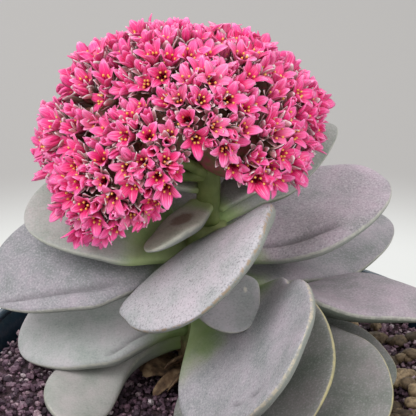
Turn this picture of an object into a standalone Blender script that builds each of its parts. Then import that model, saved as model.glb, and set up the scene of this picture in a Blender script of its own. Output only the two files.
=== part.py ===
"""Potted crassula: a felted grey succulent under a dome of pink flowers, in a dark round pot.

Metres, +Z up. The origin is the middle of the pot's flat base, and -Y is the plant's front.
"""
from collections import namedtuple
from math import cos, pi, radians, sin, sqrt

import bmesh
import bpy
import numpy as np

# Driving dimensions
POT_HEIGHT = 0.100
RIM_RADIUS = 0.070
BASE_RADIUS = 0.0505
WALL = 0.0027
FLOOR = 0.004
RIM_BEAD = 0.0014
BASE_CHAMFER = 0.0012
DRAIN_RADIUS = 0.0035
DRAIN_CIRCLE = 0.026
DRAIN_HOLES = 3
TURN_STEPS = 40
GAP = 0.0003
SOIL_LEVEL = 0.0862
SOIL_RELIEF = 0.0008
SOIL_RINGS = 9

# Stem: middle and radius at its foot in the soil and at its top
STEM_FOOT = np.array([-0.0067, 0.0158, 0.0600])
STEM_TOP = np.array([-0.0040, 0.0090, 0.1360])
STEM_RADII = (0.0074, 0.0052)
STEM_NODE = 0.0003

# Flower stalk: a straight foot above the stem, then one branch to each flower cluster
STALK_FOOT = np.array([-0.0040, 0.0090, 0.1363])
STALK_FORK = np.array([-0.0034, 0.0075, 0.1530])
STALK_RADIUS = 0.0033
BRANCH_RADIUS = 0.0013

# Leaves. Angles in degrees: heading 0 is +X, 90 is away, 180 is -X, 270 is the front.
# rise is the midrib's slope at the base and at the tip, sweep is how far the heading turns
# on the way, and roll tips the blade about its midrib at the base and at the tip.
# Each swell is a side (1 is left of the midrib), a share of the length, a span and a height.
Leaf = namedtuple("Leaf", "height heading rise roll length half thick sweep neck full swells",
                  defaults=(0.0065, 0, 0.26, 0.55, ()))
LEAVES = {
    "leaf_left_1": Leaf(0.1235, 185, (51, -17), (-22, -22), 0.0510, 0.0190, 0.0055),
    "leaf_left_2": Leaf(0.1175, 187, (37, -41), (-18, -27), 0.0605, 0.0193),
    "leaf_left_3": Leaf(0.1043, 186, (17, -32), (-16, -22), 0.0500, 0.0187),
    "leaf_left_4": Leaf(0.0990, 176, (-9, -7), (12, -15), 0.0559, 0.0122, 0.0060, 112, 0.15, 0.85,
                        ((-1, 0.85, 0.20, 0.0015),)),
    "leaf_front_1": Leaf(0.1312, 266, (11, -19), (31, 42), 0.0401, 0.0272, 0.0070, full=0.5,
                         swells=((1, 0.80, 0.15, 0.0035),)),
    "leaf_front_2": Leaf(0.1187, 288, (22, -33), (29, 16), 0.0278, 0.0103, 0.0040, full=0.6),
    "leaf_front_3": Leaf(0.1136, 292, (-15, 46), (36, 52), 0.0670, 0.0249, full=0.42,
                         swells=((1, 0.45, 0.16, -0.0055), (-1, 0.45, 0.05, 0.0010),
                                 (-1, 0.56, 0.04, -0.0012), (-1, 0.66, 0.05, 0.0012))),
    "leaf_front_4": Leaf(0.1020, 295, (1, 4), (29, 39), 0.0590, 0.0268, 0.0060, full=0.5),
    "leaf_front_5": Leaf(0.0959, 314, (7, -4), (21, 29), 0.0630, 0.0243, 0.0060, full=0.5,
                         swells=((1, 0.50, 0.15, -0.0029),)),
    "leaf_front_6": Leaf(0.0912, 343, (14, -8), (14, 20), 0.0526, 0.0188, 0.0055),
    "leaf_right_1": Leaf(0.1355, 40, (21, 19), (28, 30), 0.0472, 0.0081, 0.0055),
    "leaf_right_2": Leaf(0.1256, 29, (10, 13), (29, 5), 0.0558, 0.0208, full=0.6),
    "leaf_right_3": Leaf(0.1133, 39, (3, 1), (-1, 22), 0.0674, 0.0158, 0.0060),
    "leaf_right_4": Leaf(0.1070, -6, (22, -16), (-60, 5), 0.0650, 0.0132, 0.0060,
                         swells=((-1, 0.55, 0.20, 0.0012),)),
    "leaf_back_1": Leaf(0.1315, 96, (21, 2), (-16, -10), 0.0485, 0.0191, 0.0060),
    "leaf_back_2": Leaf(0.1225, 72, (12, -4), (20, 16), 0.0530, 0.0195),
    "leaf_back_3": Leaf(0.1125, 115, (6, -4), (-18, -10), 0.0550, 0.0189),
    "leaf_back_4": Leaf(0.1020, 81, (0, 2), (14, 10), 0.0530, 0.0180, 0.0060),
    "leaf_back_5": Leaf(0.0966, 136, (3, 3), (-10, -6), 0.0477, 0.0150, 0.0060),
    "bract_front": Leaf(0.1428, 233, (-24, -3), (-2, 23), 0.0246, 0.0074, 0.0035, neck=0.5),
    "bract_left": Leaf(0.1462, 166, (6, 4), (-8, 0), 0.0150, 0.0046, 0.0028, neck=0.5),
    "bract_right": Leaf(0.1400, 30, (30, 10), (10, 0), 0.0236, 0.0065, 0.0035, neck=0.5),
}
LEAF_SIDES = 12
LEAF_STATIONS = 10

# Flower clusters: the middle and the outer radius of each ball of flowers in the dome
Cyme = namedtuple("Cyme", "middle radius")
CYMES = {
    "cyme_front_left": Cyme((-0.0284, -0.0070, 0.1531), 0.0174),
    "cyme_left": Cyme((-0.0340, 0.0080, 0.1590), 0.0168),
    "cyme_upper_left": Cyme((-0.0264, 0.0137, 0.1696), 0.0178),
    "cyme_top": Cyme((-0.0135, 0.0090, 0.1753), 0.0183),
    "cyme_front": Cyme((-0.0180, -0.0075, 0.1620), 0.0168),
    "cyme_middle": Cyme((-0.0050, -0.0040, 0.1710), 0.0168),
    "cyme_upper_right": Cyme((0.0014, 0.0127, 0.1720), 0.0180),
    "cyme_right": Cyme((0.0116, 0.0118, 0.1656), 0.0170),
    "cyme_front_right": Cyme((0.0087, -0.0003, 0.1610), 0.0163),
    "cyme_back_left": Cyme((-0.0239, 0.0273, 0.1620), 0.0170),
    "cyme_back": Cyme((-0.0072, 0.0291, 0.1648), 0.0183),
    "cyme_back_right": Cyme((0.0060, 0.0260, 0.1652), 0.0158),
}
DOME_HEART = np.array([-0.010, 0.009, 0.156])
CORE_INSET = 0.0084
SEED = 7

# Florets: stars of five petals, raised from each cluster's ball
PETALS = 5
FLORET_COUNT = 215
FLORET_TIP = 0.0041
FLORET_NOTCH = 0.0024
NOTCH_DROP = 0.0008
FLORET_DIP = 0.0026
VALLEY_REACH = 0.0039
VALLEY_DEPTH = 0.0050
VALLEY_SPACING = 0.0022
STAR_SPACING = 0.0009
BUDS = 64
EVENING_ROUNDS = 12
SURFACE_POINTS = 900

# Walls between neighbouring clusters, and the side of a cluster that bears no florets
CELL_GAP = 0.00018
CELL_SQUEEZE = 0.0020
CELL_MARGIN = 0.0012
FACING_OUT = 0.20
FACING_STALK = 0.60

# Pebbles that lie on the gravel at the pot's right
PEBBLES = 9
PEBBLE_RADIUS = 0.0026
PEBBLE_ARC = (-38, 12)
PEBBLE_RING = (0.050, 0.060)

COLOURS = {
    "pot": ((0.035, 0.075, 0.105), 0.35),
    "soil": ((0.085, 0.055, 0.075), 0.95),
    "stem": ((0.30, 0.27, 0.16), 0.80),
    "flower_stalk": ((0.30, 0.36, 0.14), 0.70),
    "leaf": ((0.44, 0.44, 0.42), 0.90),
    "bract": ((0.36, 0.38, 0.30), 0.90),
    "cyme": ((0.78, 0.12, 0.26), 0.60),
}


def clear_scene():
    for old in list(bpy.data.objects):
        bpy.data.objects.remove(old)


def make_collection(name):
    found = bpy.data.collections.new(name)
    bpy.context.scene.collection.children.link(found)
    return found


def add_object(name, mesh, collection):
    body = bpy.data.objects.new(name, mesh)
    collection.objects.link(body)
    return body


def paint(body, kind):
    colour, roughness = COLOURS[kind]
    material = bpy.data.materials.new(body.name)
    material.use_nodes = True
    shader = material.node_tree.nodes["Principled BSDF"]
    shader.inputs["Base Color"].default_value = (*colour, 1)
    shader.inputs["Roughness"].default_value = roughness
    shader.inputs["Metallic"].default_value = 0
    body.data.materials.clear()
    body.data.materials.append(material)
    material.diffuse_color = (*colour, 1)


def smooth(body, degrees=40):
    body.data.shade_smooth()
    body.data.set_sharp_from_angle(angle=radians(degrees))


def evaluated_mesh(body):
    """The object's mesh as its modifiers leave it, welded where a curve's caps are loose."""
    bpy.context.view_layer.update()
    seen = body.evaluated_get(bpy.context.evaluated_depsgraph_get())
    mesh = bpy.data.meshes.new_from_object(seen)
    form = bmesh.new()
    form.from_mesh(mesh)
    bmesh.ops.remove_doubles(form, verts=form.verts, dist=1e-7)
    form.to_mesh(mesh)
    form.free()
    return mesh


def settle(body):
    """Replaces the object's mesh by its evaluated one, so that its modifiers are applied."""
    mesh = evaluated_mesh(body)
    body.modifiers.clear()
    body.data = mesh


def boolean(body, operation, other=None, collection=None):
    cut = body.modifiers.new(operation.lower(), "BOOLEAN")
    cut.operation = operation
    if collection:
        cut.operand_type = "COLLECTION"
        cut.collection = collection
    else:
        cut.object = other
    return cut


def drop_collection(collection):
    for spent in list(collection.objects):
        bpy.data.objects.remove(spent)
    bpy.data.collections.remove(collection)


def keep_largest_body(mesh):
    """Drops loose scraps and the walls of sealed pockets that a union leaves behind."""
    form = bmesh.new()
    form.from_mesh(mesh)
    left = set(form.verts)
    bodies = []
    while left:
        reached = {left.pop()}
        front = list(reached)
        while front:
            for edge in front.pop().link_edges:
                for corner in edge.verts:
                    if corner not in reached:
                        reached.add(corner)
                        front.append(corner)
        left -= reached
        bodies.append(reached)
    largest = max(bodies, key=len)
    scraps = [corner for group in bodies if group is not largest for corner in group]
    bmesh.ops.delete(form, geom=scraps, context="VERTS")
    form.to_mesh(mesh)
    form.free()


def turned(name, profile, collection):
    """A Screw of a profile of (radius, height) points, which starts and ends on the axis."""
    mesh = bpy.data.meshes.new(name)
    points = [(radius, 0, height) for radius, height in profile]
    mesh.from_pydata(points, [(i, i + 1) for i in range(len(points) - 1)], [])
    body = add_object(name, mesh, collection)
    screw = body.modifiers.new("turn", "SCREW")
    screw.steps = TURN_STEPS
    screw.render_steps = TURN_STEPS
    screw.use_merge_vertices = True
    screw.merge_threshold = 0.00001
    return body


def tube(name, points, radii, collection, resolution=2):
    """A curve with filled caps, made a mesh, through points with a radius at each."""
    curve = bpy.data.curves.new(name, "CURVE")
    curve.dimensions = "3D"
    curve.bevel_depth = max(radii)
    curve.bevel_resolution = resolution
    curve.use_fill_caps = True
    spline = curve.splines.new("POLY")
    spline.points.add(len(points) - 1)
    for point, place, radius in zip(spline.points, points, radii):
        point.co = (*place, 1)
        point.radius = radius / curve.bevel_depth
    line = add_object(name + "_line", curve, collection)
    mesh = evaluated_mesh(line)
    body = add_object(name, mesh, collection)
    body.matrix_world = line.matrix_world
    bpy.data.objects.remove(line)
    return body


def outer_radius(height):
    """The pot's outer wall: a straight taper from the base to just under the rim."""
    return BASE_RADIUS + (RIM_RADIUS - RIM_BEAD / 2 - BASE_RADIUS) * height / (POT_HEIGHT - 2 * RIM_BEAD)


def inner_radius(height):
    return outer_radius(height) - WALL


def stem_middle(height):
    along = (height - STEM_FOOT[2]) / (STEM_TOP[2] - STEM_FOOT[2])
    return STEM_FOOT + (STEM_TOP - STEM_FOOT) * along


def stem_radius(height):
    along = (height - STEM_FOOT[2]) / (STEM_TOP[2] - STEM_FOOT[2])
    return STEM_RADII[0] + (STEM_RADII[1] - STEM_RADII[0]) * along


def make_pot(parts, cutters):
    middle = RIM_RADIUS - RIM_BEAD
    crest = POT_HEIGHT - RIM_BEAD
    bead = [(middle - RIM_BEAD * cos(turn), crest + RIM_BEAD * sin(turn))
            for turn in np.linspace(radians(-25), radians(205), 7)]
    profile = [(0, FLOOR), (inner_radius(FLOOR) - BASE_CHAMFER, FLOOR),
               (inner_radius(FLOOR + BASE_CHAMFER), FLOOR + BASE_CHAMFER),
               (inner_radius(SOIL_LEVEL), SOIL_LEVEL),
               (inner_radius(crest - 2 * RIM_BEAD), crest - 2 * RIM_BEAD)]
    profile += bead
    profile += [(outer_radius(crest - 2 * RIM_BEAD), crest - 2 * RIM_BEAD),
                (outer_radius(BASE_CHAMFER), BASE_CHAMFER),
                (BASE_RADIUS - BASE_CHAMFER, 0), (0, 0)]
    pot = turned("pot", profile, parts)
    for hole in range(DRAIN_HOLES):
        turn = radians(30 + 360 * hole / DRAIN_HOLES)
        bpy.ops.mesh.primitive_cylinder_add(vertices=16, radius=DRAIN_RADIUS, depth=4 * FLOOR,
                                            location=(DRAIN_CIRCLE * cos(turn), DRAIN_CIRCLE * sin(turn), 0))
        drill = take_active("drain_drill_%d" % (hole + 1), cutters)
        boolean(pot, "DIFFERENCE", drill)
    settle(pot)
    smooth(pot)
    paint(pot, "pot")


def take_active(name, collection):
    """Names the primitive that was just added and moves it to a collection."""
    body = bpy.context.active_object
    body.name = name
    for holder in list(body.users_collection):
        holder.objects.unlink(body)
    collection.objects.link(body)
    return body


def soil_profile():
    """From the middle of the surface out to the wall, down the wall and back to the axis."""
    bottom = FLOOR + GAP
    edge = inner_radius(SOIL_LEVEL) - GAP
    top = [(edge * ring / SOIL_RINGS, SOIL_LEVEL) for ring in range(SOIL_RINGS + 1)]
    foot = inner_radius(bottom + 2 * BASE_CHAMFER) - GAP
    return top + [(foot, bottom + 2 * BASE_CHAMFER), (foot - 2 * BASE_CHAMFER, bottom), (0, bottom)]


def make_soil(parts, cutters):
    soil = turned("soil", soil_profile(), parts)
    settle(soil)
    chance = np.random.default_rng(SEED)
    for corner in soil.data.vertices:
        lift = chance.uniform(-1, 1)
        inside = sqrt(corner.co.x ** 2 + corner.co.y ** 2) < inner_radius(SOIL_LEVEL) - 2 * GAP
        if abs(corner.co.z - SOIL_LEVEL) < 1e-5 and inside:
            corner.co.z += SOIL_RELIEF * lift
    pebbles = make_collection("pebbles")
    for number in range(PEBBLES):
        share = number / (PEBBLES - 1)
        turn = radians(PEBBLE_ARC[0] + (PEBBLE_ARC[1] - PEBBLE_ARC[0]) * share)
        ring = PEBBLE_RING[number % 2]
        size = PEBBLE_RADIUS * chance.uniform(0.8, 1.1)
        place = (ring * cos(turn), ring * sin(turn), SOIL_LEVEL + 0.1 * size)
        bpy.ops.mesh.primitive_uv_sphere_add(segments=8, ring_count=5, radius=size, location=place,
                                             rotation=chance.uniform(0, pi, 3))
        take_active("pebble_%d" % (number + 1), pebbles)
    boolean(soil, "UNION", collection=pebbles)
    settle(soil)
    drop_collection(pebbles)
    deep = STEM_FOOT[2] - GAP
    high = SOIL_LEVEL + 10 * SOIL_RELIEF
    points = [stem_middle(deep), stem_middle(high)]
    radii = [stem_radius(deep) + STEM_NODE + GAP, stem_radius(high) + STEM_NODE + GAP]
    hole = tube("stem_hole", points, radii, cutters, 4)
    boolean(soil, "DIFFERENCE", hole)
    settle(soil)
    keep_largest_body(soil.data)
    paint(soil, "soil")


def stem_line():
    """Points and radii up the stem, a little thicker at each ring where leaves grew."""
    heights = np.linspace(STEM_FOOT[2], STEM_TOP[2], 13)
    rings = [STEM_NODE * (number % 2) for number in range(len(heights))]
    return [stem_middle(z) for z in heights], [stem_radius(z) + ring for z, ring in zip(heights, rings)]


def make_stem(parts):
    points, radii = stem_line()
    stem = tube("stem", points, radii, parts, 4)
    smooth(stem)
    paint(stem, "stem")


def core_radius(cyme):
    return cyme.radius - CORE_INSET


def towards_fork(cyme):
    back = STALK_FORK - np.array(cyme.middle)
    return back / np.linalg.norm(back)


def make_stalk(parts):
    stalk = tube("flower_stalk", [STALK_FOOT, STALK_FORK], [STALK_RADIUS, STALK_RADIUS * 0.9], parts)
    branches = make_collection("branches")
    for name, cyme in CYMES.items():
        back = towards_fork(cyme)
        skin = np.array([np.array(cyme.middle) + back * core_radius(cyme)])
        seat = squeeze(skin, name)[0] + back * GAP
        inside = STALK_FORK - np.array([0, 0, BRANCH_RADIUS])
        tube("branch_to_" + name, [inside, seat], [BRANCH_RADIUS * 1.3, BRANCH_RADIUS], branches, 1)
    boolean(stalk, "UNION", collection=branches)
    settle(stalk)
    drop_collection(branches)
    keep_largest_body(stalk.data)
    smooth(stalk)
    paint(stalk, "flower_stalk")


def make_seat_cutter(cutters):
    """The stem and stalk with their gap all round, which every leaf base is cut by."""
    points, radii = stem_line()
    radii = [radius + GAP for radius in radii]
    points += [STALK_FOOT, STALK_FOOT + (STALK_FORK - STALK_FOOT) * 0.02, STALK_FORK]
    radii += [radii[-1], STALK_RADIUS + GAP, STALK_RADIUS + GAP]
    return tube("stem_and_stalk_room", points, radii, cutters, 4)


def ease(start, end, value):
    share = np.clip((value - start) / (end - start), 0, 1)
    return share * share * (3 - 2 * share)


def midrib(leaf, share):
    """Place and direction along a leaf that starts at the origin and heads for +X."""
    steps = np.linspace(0, 1, 97)
    climb = np.radians(leaf.rise[0] + (leaf.rise[1] - leaf.rise[0]) * steps)
    turn = np.radians(leaf.sweep * steps)
    way = np.stack([np.cos(climb) * np.cos(turn), np.cos(climb) * np.sin(turn), np.sin(climb)], axis=1)
    path = np.cumsum((way[1:] + way[:-1]) / 2, axis=0) * leaf.length / (len(steps) - 1)
    path = np.vstack([np.zeros(3), path])
    place = np.stack([np.interp(share, steps, path[:, axis]) for axis in range(3)], axis=-1)
    ahead = np.stack([np.interp(share, steps, way[:, axis]) for axis in range(3)], axis=-1)
    return place, ahead / np.linalg.norm(ahead, axis=-1, keepdims=True)


def leaf_point(leaf, share, turn):
    """A leaf's skin at a share of its length and an angle round its section.

    The half width is half * body * tip, with body growing from the neck to full and
    tip = sqrt(1 - share^3.2), plus each swell of one margin, a bell curve along the share.
    The section is nearly flat above and swollen beneath.
    """
    place, ahead = midrib(leaf, share)
    side = np.stack([-ahead[..., 1], ahead[..., 0], np.zeros_like(share)], axis=-1)
    side /= np.linalg.norm(side, axis=-1, keepdims=True)
    over = np.cross(ahead, side)
    roll = np.radians(leaf.roll[0] + (leaf.roll[1] - leaf.roll[0]) * ease(0, 0.7, share))[..., None]
    across = np.cos(roll) * side + np.sin(roll) * over
    above = -np.sin(roll) * side + np.cos(roll) * over
    cap = np.sqrt(np.clip(1 - (1 - np.clip(share / 0.06, 0, 1)) ** 2, 0, 1))
    body = leaf.neck + (1 - leaf.neck) * ease(0, leaf.full, share)
    tip = np.sqrt(np.clip(1 - share ** 3.2, 0, 1)) * cap
    half = leaf.half * body * tip
    depth = leaf.thick * (0.62 + 0.38 * ease(0, 0.4, share) - 0.30 * ease(0.45, 1, share))
    depth = depth * np.sqrt(np.clip(1 - share ** 6, 0, 1)) * cap
    level = np.sin(turn)
    out = np.cos(turn)
    swell = np.sign(out) * np.abs(out) ** 0.62
    out = np.where(level >= 0, out, swell)
    for margin, centre, span, more in leaf.swells:
        half = half + np.where(margin * out > 0, more * np.exp(-((share - centre) / span) ** 2) * tip, 0)
    lift = np.where(level >= 0, 0.24 * level, -0.76 * np.abs(level) ** 0.75)
    cup = 0.10 * (out * half) ** 2 / leaf.half
    return place + across * (out * half)[..., None] + above * (lift * depth + cup)[..., None]


def leaf_seat(leaf):
    """Where the leaf starts: in the stem or stalk, half a radius out along its heading."""
    if leaf.height > STALK_FOOT[2]:
        middle = STALK_FOOT + (STALK_FORK - STALK_FOOT) * (leaf.height - STALK_FOOT[2]) \
            / (STALK_FORK[2] - STALK_FOOT[2])
        radius = STALK_RADIUS
    else:
        middle = stem_middle(leaf.height)
        radius = stem_radius(leaf.height)
    turn = radians(leaf.heading)
    return middle + 0.5 * radius * np.array([cos(turn), sin(turn), 0])


def make_leaf(name, leaf, parts, cutter):
    form = bmesh.new()
    bmesh.ops.create_uvsphere(form, u_segments=LEAF_SIDES, v_segments=LEAF_STATIONS, radius=1)
    sphere = np.array([corner.co for corner in form.verts])
    share = (1 + sphere[:, 2]) / 2
    turn = np.arctan2(sphere[:, 1], sphere[:, 0])
    skin = leaf_point(leaf, np.clip(share, 0, 1), turn)
    for corner, place in zip(form.verts, skin):
        corner.co = place
    bmesh.ops.recalc_face_normals(form, faces=form.faces)
    mesh = bpy.data.meshes.new(name)
    form.to_mesh(mesh)
    form.free()
    body = add_object(name, mesh, parts)
    body.location = leaf_seat(leaf)
    body.rotation_euler = (0, 0, radians(leaf.heading))
    boolean(body, "DIFFERENCE", cutter)
    settle(body)
    keep_largest_body(body.data)
    smooth(body, 60)
    paint(body, "bract" if name.startswith("bract") else "leaf")


def cell_walls(name):
    """Unit direction and distance from a cluster's middle to its wall with each other cluster."""
    own = CYMES[name]
    walls = []
    for other_name, other in CYMES.items():
        if other_name == name:
            continue
        way = np.array(other.middle) - np.array(own.middle)
        far = np.linalg.norm(way)
        walls.append((way / far, (far ** 2 + own.radius ** 2 - other.radius ** 2) / (2 * far)))
    return walls


def squeeze(points, name):
    """Bends points that would cross a cell wall back inside, closer the further they reached."""
    middle = np.array(CYMES[name].middle)
    for _ in range(3):
        for way, wall in cell_walls(name):
            room = wall - (points - middle) @ way
            eased = CELL_GAP + (CELL_SQUEEZE - CELL_GAP) \
                * np.exp((room - CELL_SQUEEZE) / (CELL_SQUEEZE - CELL_GAP))
            push = np.where(room < CELL_SQUEEZE, eased - room, 0)
            points = points - push[:, None] * way
    return points


def ball_points(count):
    """Even points on a unit sphere, along a golden spiral."""
    number = np.arange(count) + 0.5
    level = 1 - 2 * number / count
    turn = number * pi * (3 - sqrt(5))
    ring = np.sqrt(1 - level ** 2)
    return np.stack([ring * np.cos(turn), ring * np.sin(turn), level], axis=1)


def free_surface():
    """Cluster number and ball direction of even points on the dome's open outside."""
    ball = ball_points(SURFACE_POINTS)
    owners, ways, places = [], [], []
    for number, (name, cyme) in enumerate(CYMES.items()):
        points = np.array(cyme.middle) + ball * cyme.radius
        outward = points - DOME_HEART
        outward /= np.linalg.norm(outward, axis=1, keepdims=True)
        clear = ((ball * outward).sum(axis=1) > FACING_OUT) & (ball @ towards_fork(cyme) < FACING_STALK)
        for way, wall in cell_walls(name):
            clear &= wall - ball @ way * cyme.radius > CELL_MARGIN
        owners.append(np.full(int(clear.sum()), number))
        ways.append(ball[clear])
        places.append(points[clear])
    return np.concatenate(owners), np.vstack(ways), np.vstack(places)


def floret_places():
    """Ball directions of each cluster's florets: an even spread, evened out in a few rounds."""
    owners, ways, places = free_surface()
    chosen = [int(np.argmax(places[:, 2]))]
    nearest = np.linalg.norm(places - places[chosen[0]], axis=1)
    while len(chosen) < FLORET_COUNT:
        chosen.append(int(np.argmax(nearest)))
        nearest = np.minimum(nearest, np.linalg.norm(places - places[chosen[-1]], axis=1))
    for _ in range(EVENING_ROUNDS):
        group = np.linalg.norm(places[:, None] - places[chosen][None], axis=2).argmin(axis=1)
        for number in range(FLORET_COUNT):
            centre = places[group == number].mean(axis=0)
            chosen[number] = int(np.linalg.norm(places - centre, axis=1).argmin())
    florets = {name: [] for name in CYMES}
    names = list(CYMES)
    for pick in sorted(set(chosen)):
        florets[names[owners[pick]]].append(ways[pick])
    return florets


def circle_about(way, angles, turns):
    """Unit directions at given angles from a direction, at given turns round it."""
    aside = np.cross(way, [0, 0, 1])
    aside /= np.linalg.norm(aside)
    ahead = np.cross(way, aside)
    rim = np.cos(turns)[:, None] * aside + np.sin(turns)[:, None] * ahead
    return np.cos(angles)[:, None] * way + np.sin(angles)[:, None] * rim


def far_from(point, others, least):
    return len(others) == 0 or np.linalg.norm(np.array(others) - point, axis=1).min() > least


def cyme_relief(name, ways, chance):
    """Directions and radii of the points of a cluster's skin.

    A floret is a star of ten points round a dipped throat. Between florets the skin falls
    to valleys, and on the side that bears none it falls to the core.
    """
    cyme = CYMES[name]
    middle = np.array(cyme.middle)
    back = towards_fork(cyme)
    number = np.arange(2 * PETALS)
    reach = np.where(number % 2, FLORET_NOTCH, FLORET_TIP) / cyme.radius
    crest = np.where(number % 2, cyme.radius - NOTCH_DROP, cyme.radius)
    valley_reach = np.full(PETALS, VALLEY_REACH / cyme.radius)
    radii = [cyme.radius - FLORET_DIP] * len(ways)
    stars, pits, valleys = [], [back], []
    for way in ways:
        turns = chance.uniform(0, 2 * pi) + number * pi / PETALS
        pits += list(circle_about(way, valley_reach, turns[1::2]))
        for point, radius in zip(circle_about(way, reach, turns), crest):
            if far_from(point, stars, STAR_SPACING / cyme.radius):
                stars.append(point)
                radii.append(radius)
    for point in pits + list(ball_points(BUDS)):
        clear = far_from(point, ways, 0.95 * VALLEY_REACH / cyme.radius)
        clear = clear and far_from(point, stars, STAR_SPACING / cyme.radius)
        if clear and far_from(point, valleys, VALLEY_SPACING / cyme.radius):
            outward = middle + point * cyme.radius - DOME_HEART
            bare = point @ outward < FACING_OUT * np.linalg.norm(outward) or point @ back > FACING_STALK
            valleys.append(point)
            radii.append(core_radius(cyme) if bare else cyme.radius - VALLEY_DEPTH)
    return np.array(ways + stars + valleys), np.array(radii)


def make_cyme(name, ways, chance, parts):
    """The convex hull of the skin's directions joins them up, before each takes its radius."""
    directions, radii = cyme_relief(name, ways, chance)
    form = bmesh.new()
    corners = [form.verts.new(way) for way in directions]
    bmesh.ops.convex_hull(form, input=corners)
    points = np.array(CYMES[name].middle) + directions * radii[:, None]
    for corner, place in zip(corners, squeeze(points, name)):
        corner.co = place
    bmesh.ops.triangulate(form, faces=form.faces)
    bmesh.ops.recalc_face_normals(form, faces=form.faces)
    mesh = bpy.data.meshes.new(name)
    form.to_mesh(mesh)
    form.free()
    paint(add_object(name, mesh, parts), "cyme")


def main():
    clear_scene()
    parts = make_collection("potted_crassula")
    cutters = make_collection("cutters")
    make_pot(parts, cutters)
    make_soil(parts, cutters)
    make_stem(parts)
    make_stalk(parts)
    room = make_seat_cutter(cutters)
    for name, leaf in LEAVES.items():
        make_leaf(name, leaf, parts, room)
    chance = np.random.default_rng(SEED)
    for name, ways in floret_places().items():
        make_cyme(name, ways, chance, parts)
    for cutter in cutters.objects:
        cutter.hide_render = True
        cutter.display_type = "WIRE"


main()
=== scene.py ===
"""Potted crassula: felted leaves, a dome of small pink flowers, gravel and a dark round pot."""
from collections import namedtuple
from math import cos, pi, radians, sin, sqrt

import bpy
import numpy as np
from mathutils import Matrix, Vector


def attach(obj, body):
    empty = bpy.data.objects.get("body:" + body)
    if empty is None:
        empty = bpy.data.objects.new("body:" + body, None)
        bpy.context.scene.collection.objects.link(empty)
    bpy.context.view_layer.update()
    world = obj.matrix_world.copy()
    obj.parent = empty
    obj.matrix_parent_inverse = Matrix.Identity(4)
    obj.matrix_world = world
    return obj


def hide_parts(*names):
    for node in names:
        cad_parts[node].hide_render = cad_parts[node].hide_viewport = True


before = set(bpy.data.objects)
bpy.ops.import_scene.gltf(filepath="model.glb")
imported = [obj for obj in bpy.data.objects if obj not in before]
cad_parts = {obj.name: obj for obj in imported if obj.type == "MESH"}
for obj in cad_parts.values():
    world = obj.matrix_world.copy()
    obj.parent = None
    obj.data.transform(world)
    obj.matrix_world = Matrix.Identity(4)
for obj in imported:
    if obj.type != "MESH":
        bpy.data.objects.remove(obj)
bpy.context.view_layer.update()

MM = 0.001
SEED = 7

# Pot
POT_HEIGHT = 0.100
RIM_RADIUS = 0.070
BASE_RADIUS = 0.0505
WALL = 0.0027
FLOOR = 0.004
RIM_BEAD = 0.0014
BASE_CHAMFER = 0.0012
DRAIN_RADIUS = 0.0035
DRAIN_CIRCLE = 0.026
DRAIN_HOLES = 3
GAP = 0.0003
SOIL_LEVEL = 0.0862

# Stem and flower stalk
STEM_FOOT = np.array([-0.0067, 0.0158, 0.0600])
STEM_TOP = np.array([-0.0040, 0.0090, 0.1360])
STEM_RADII = (0.0074, 0.0052)
STALK_FOOT = np.array([-0.0040, 0.0090, 0.1363])
STALK_FORK = np.array([-0.0034, 0.0075, 0.1530])
STALK_RADIUS = 0.0033
BRANCH_RADIUS = 0.0013

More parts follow.
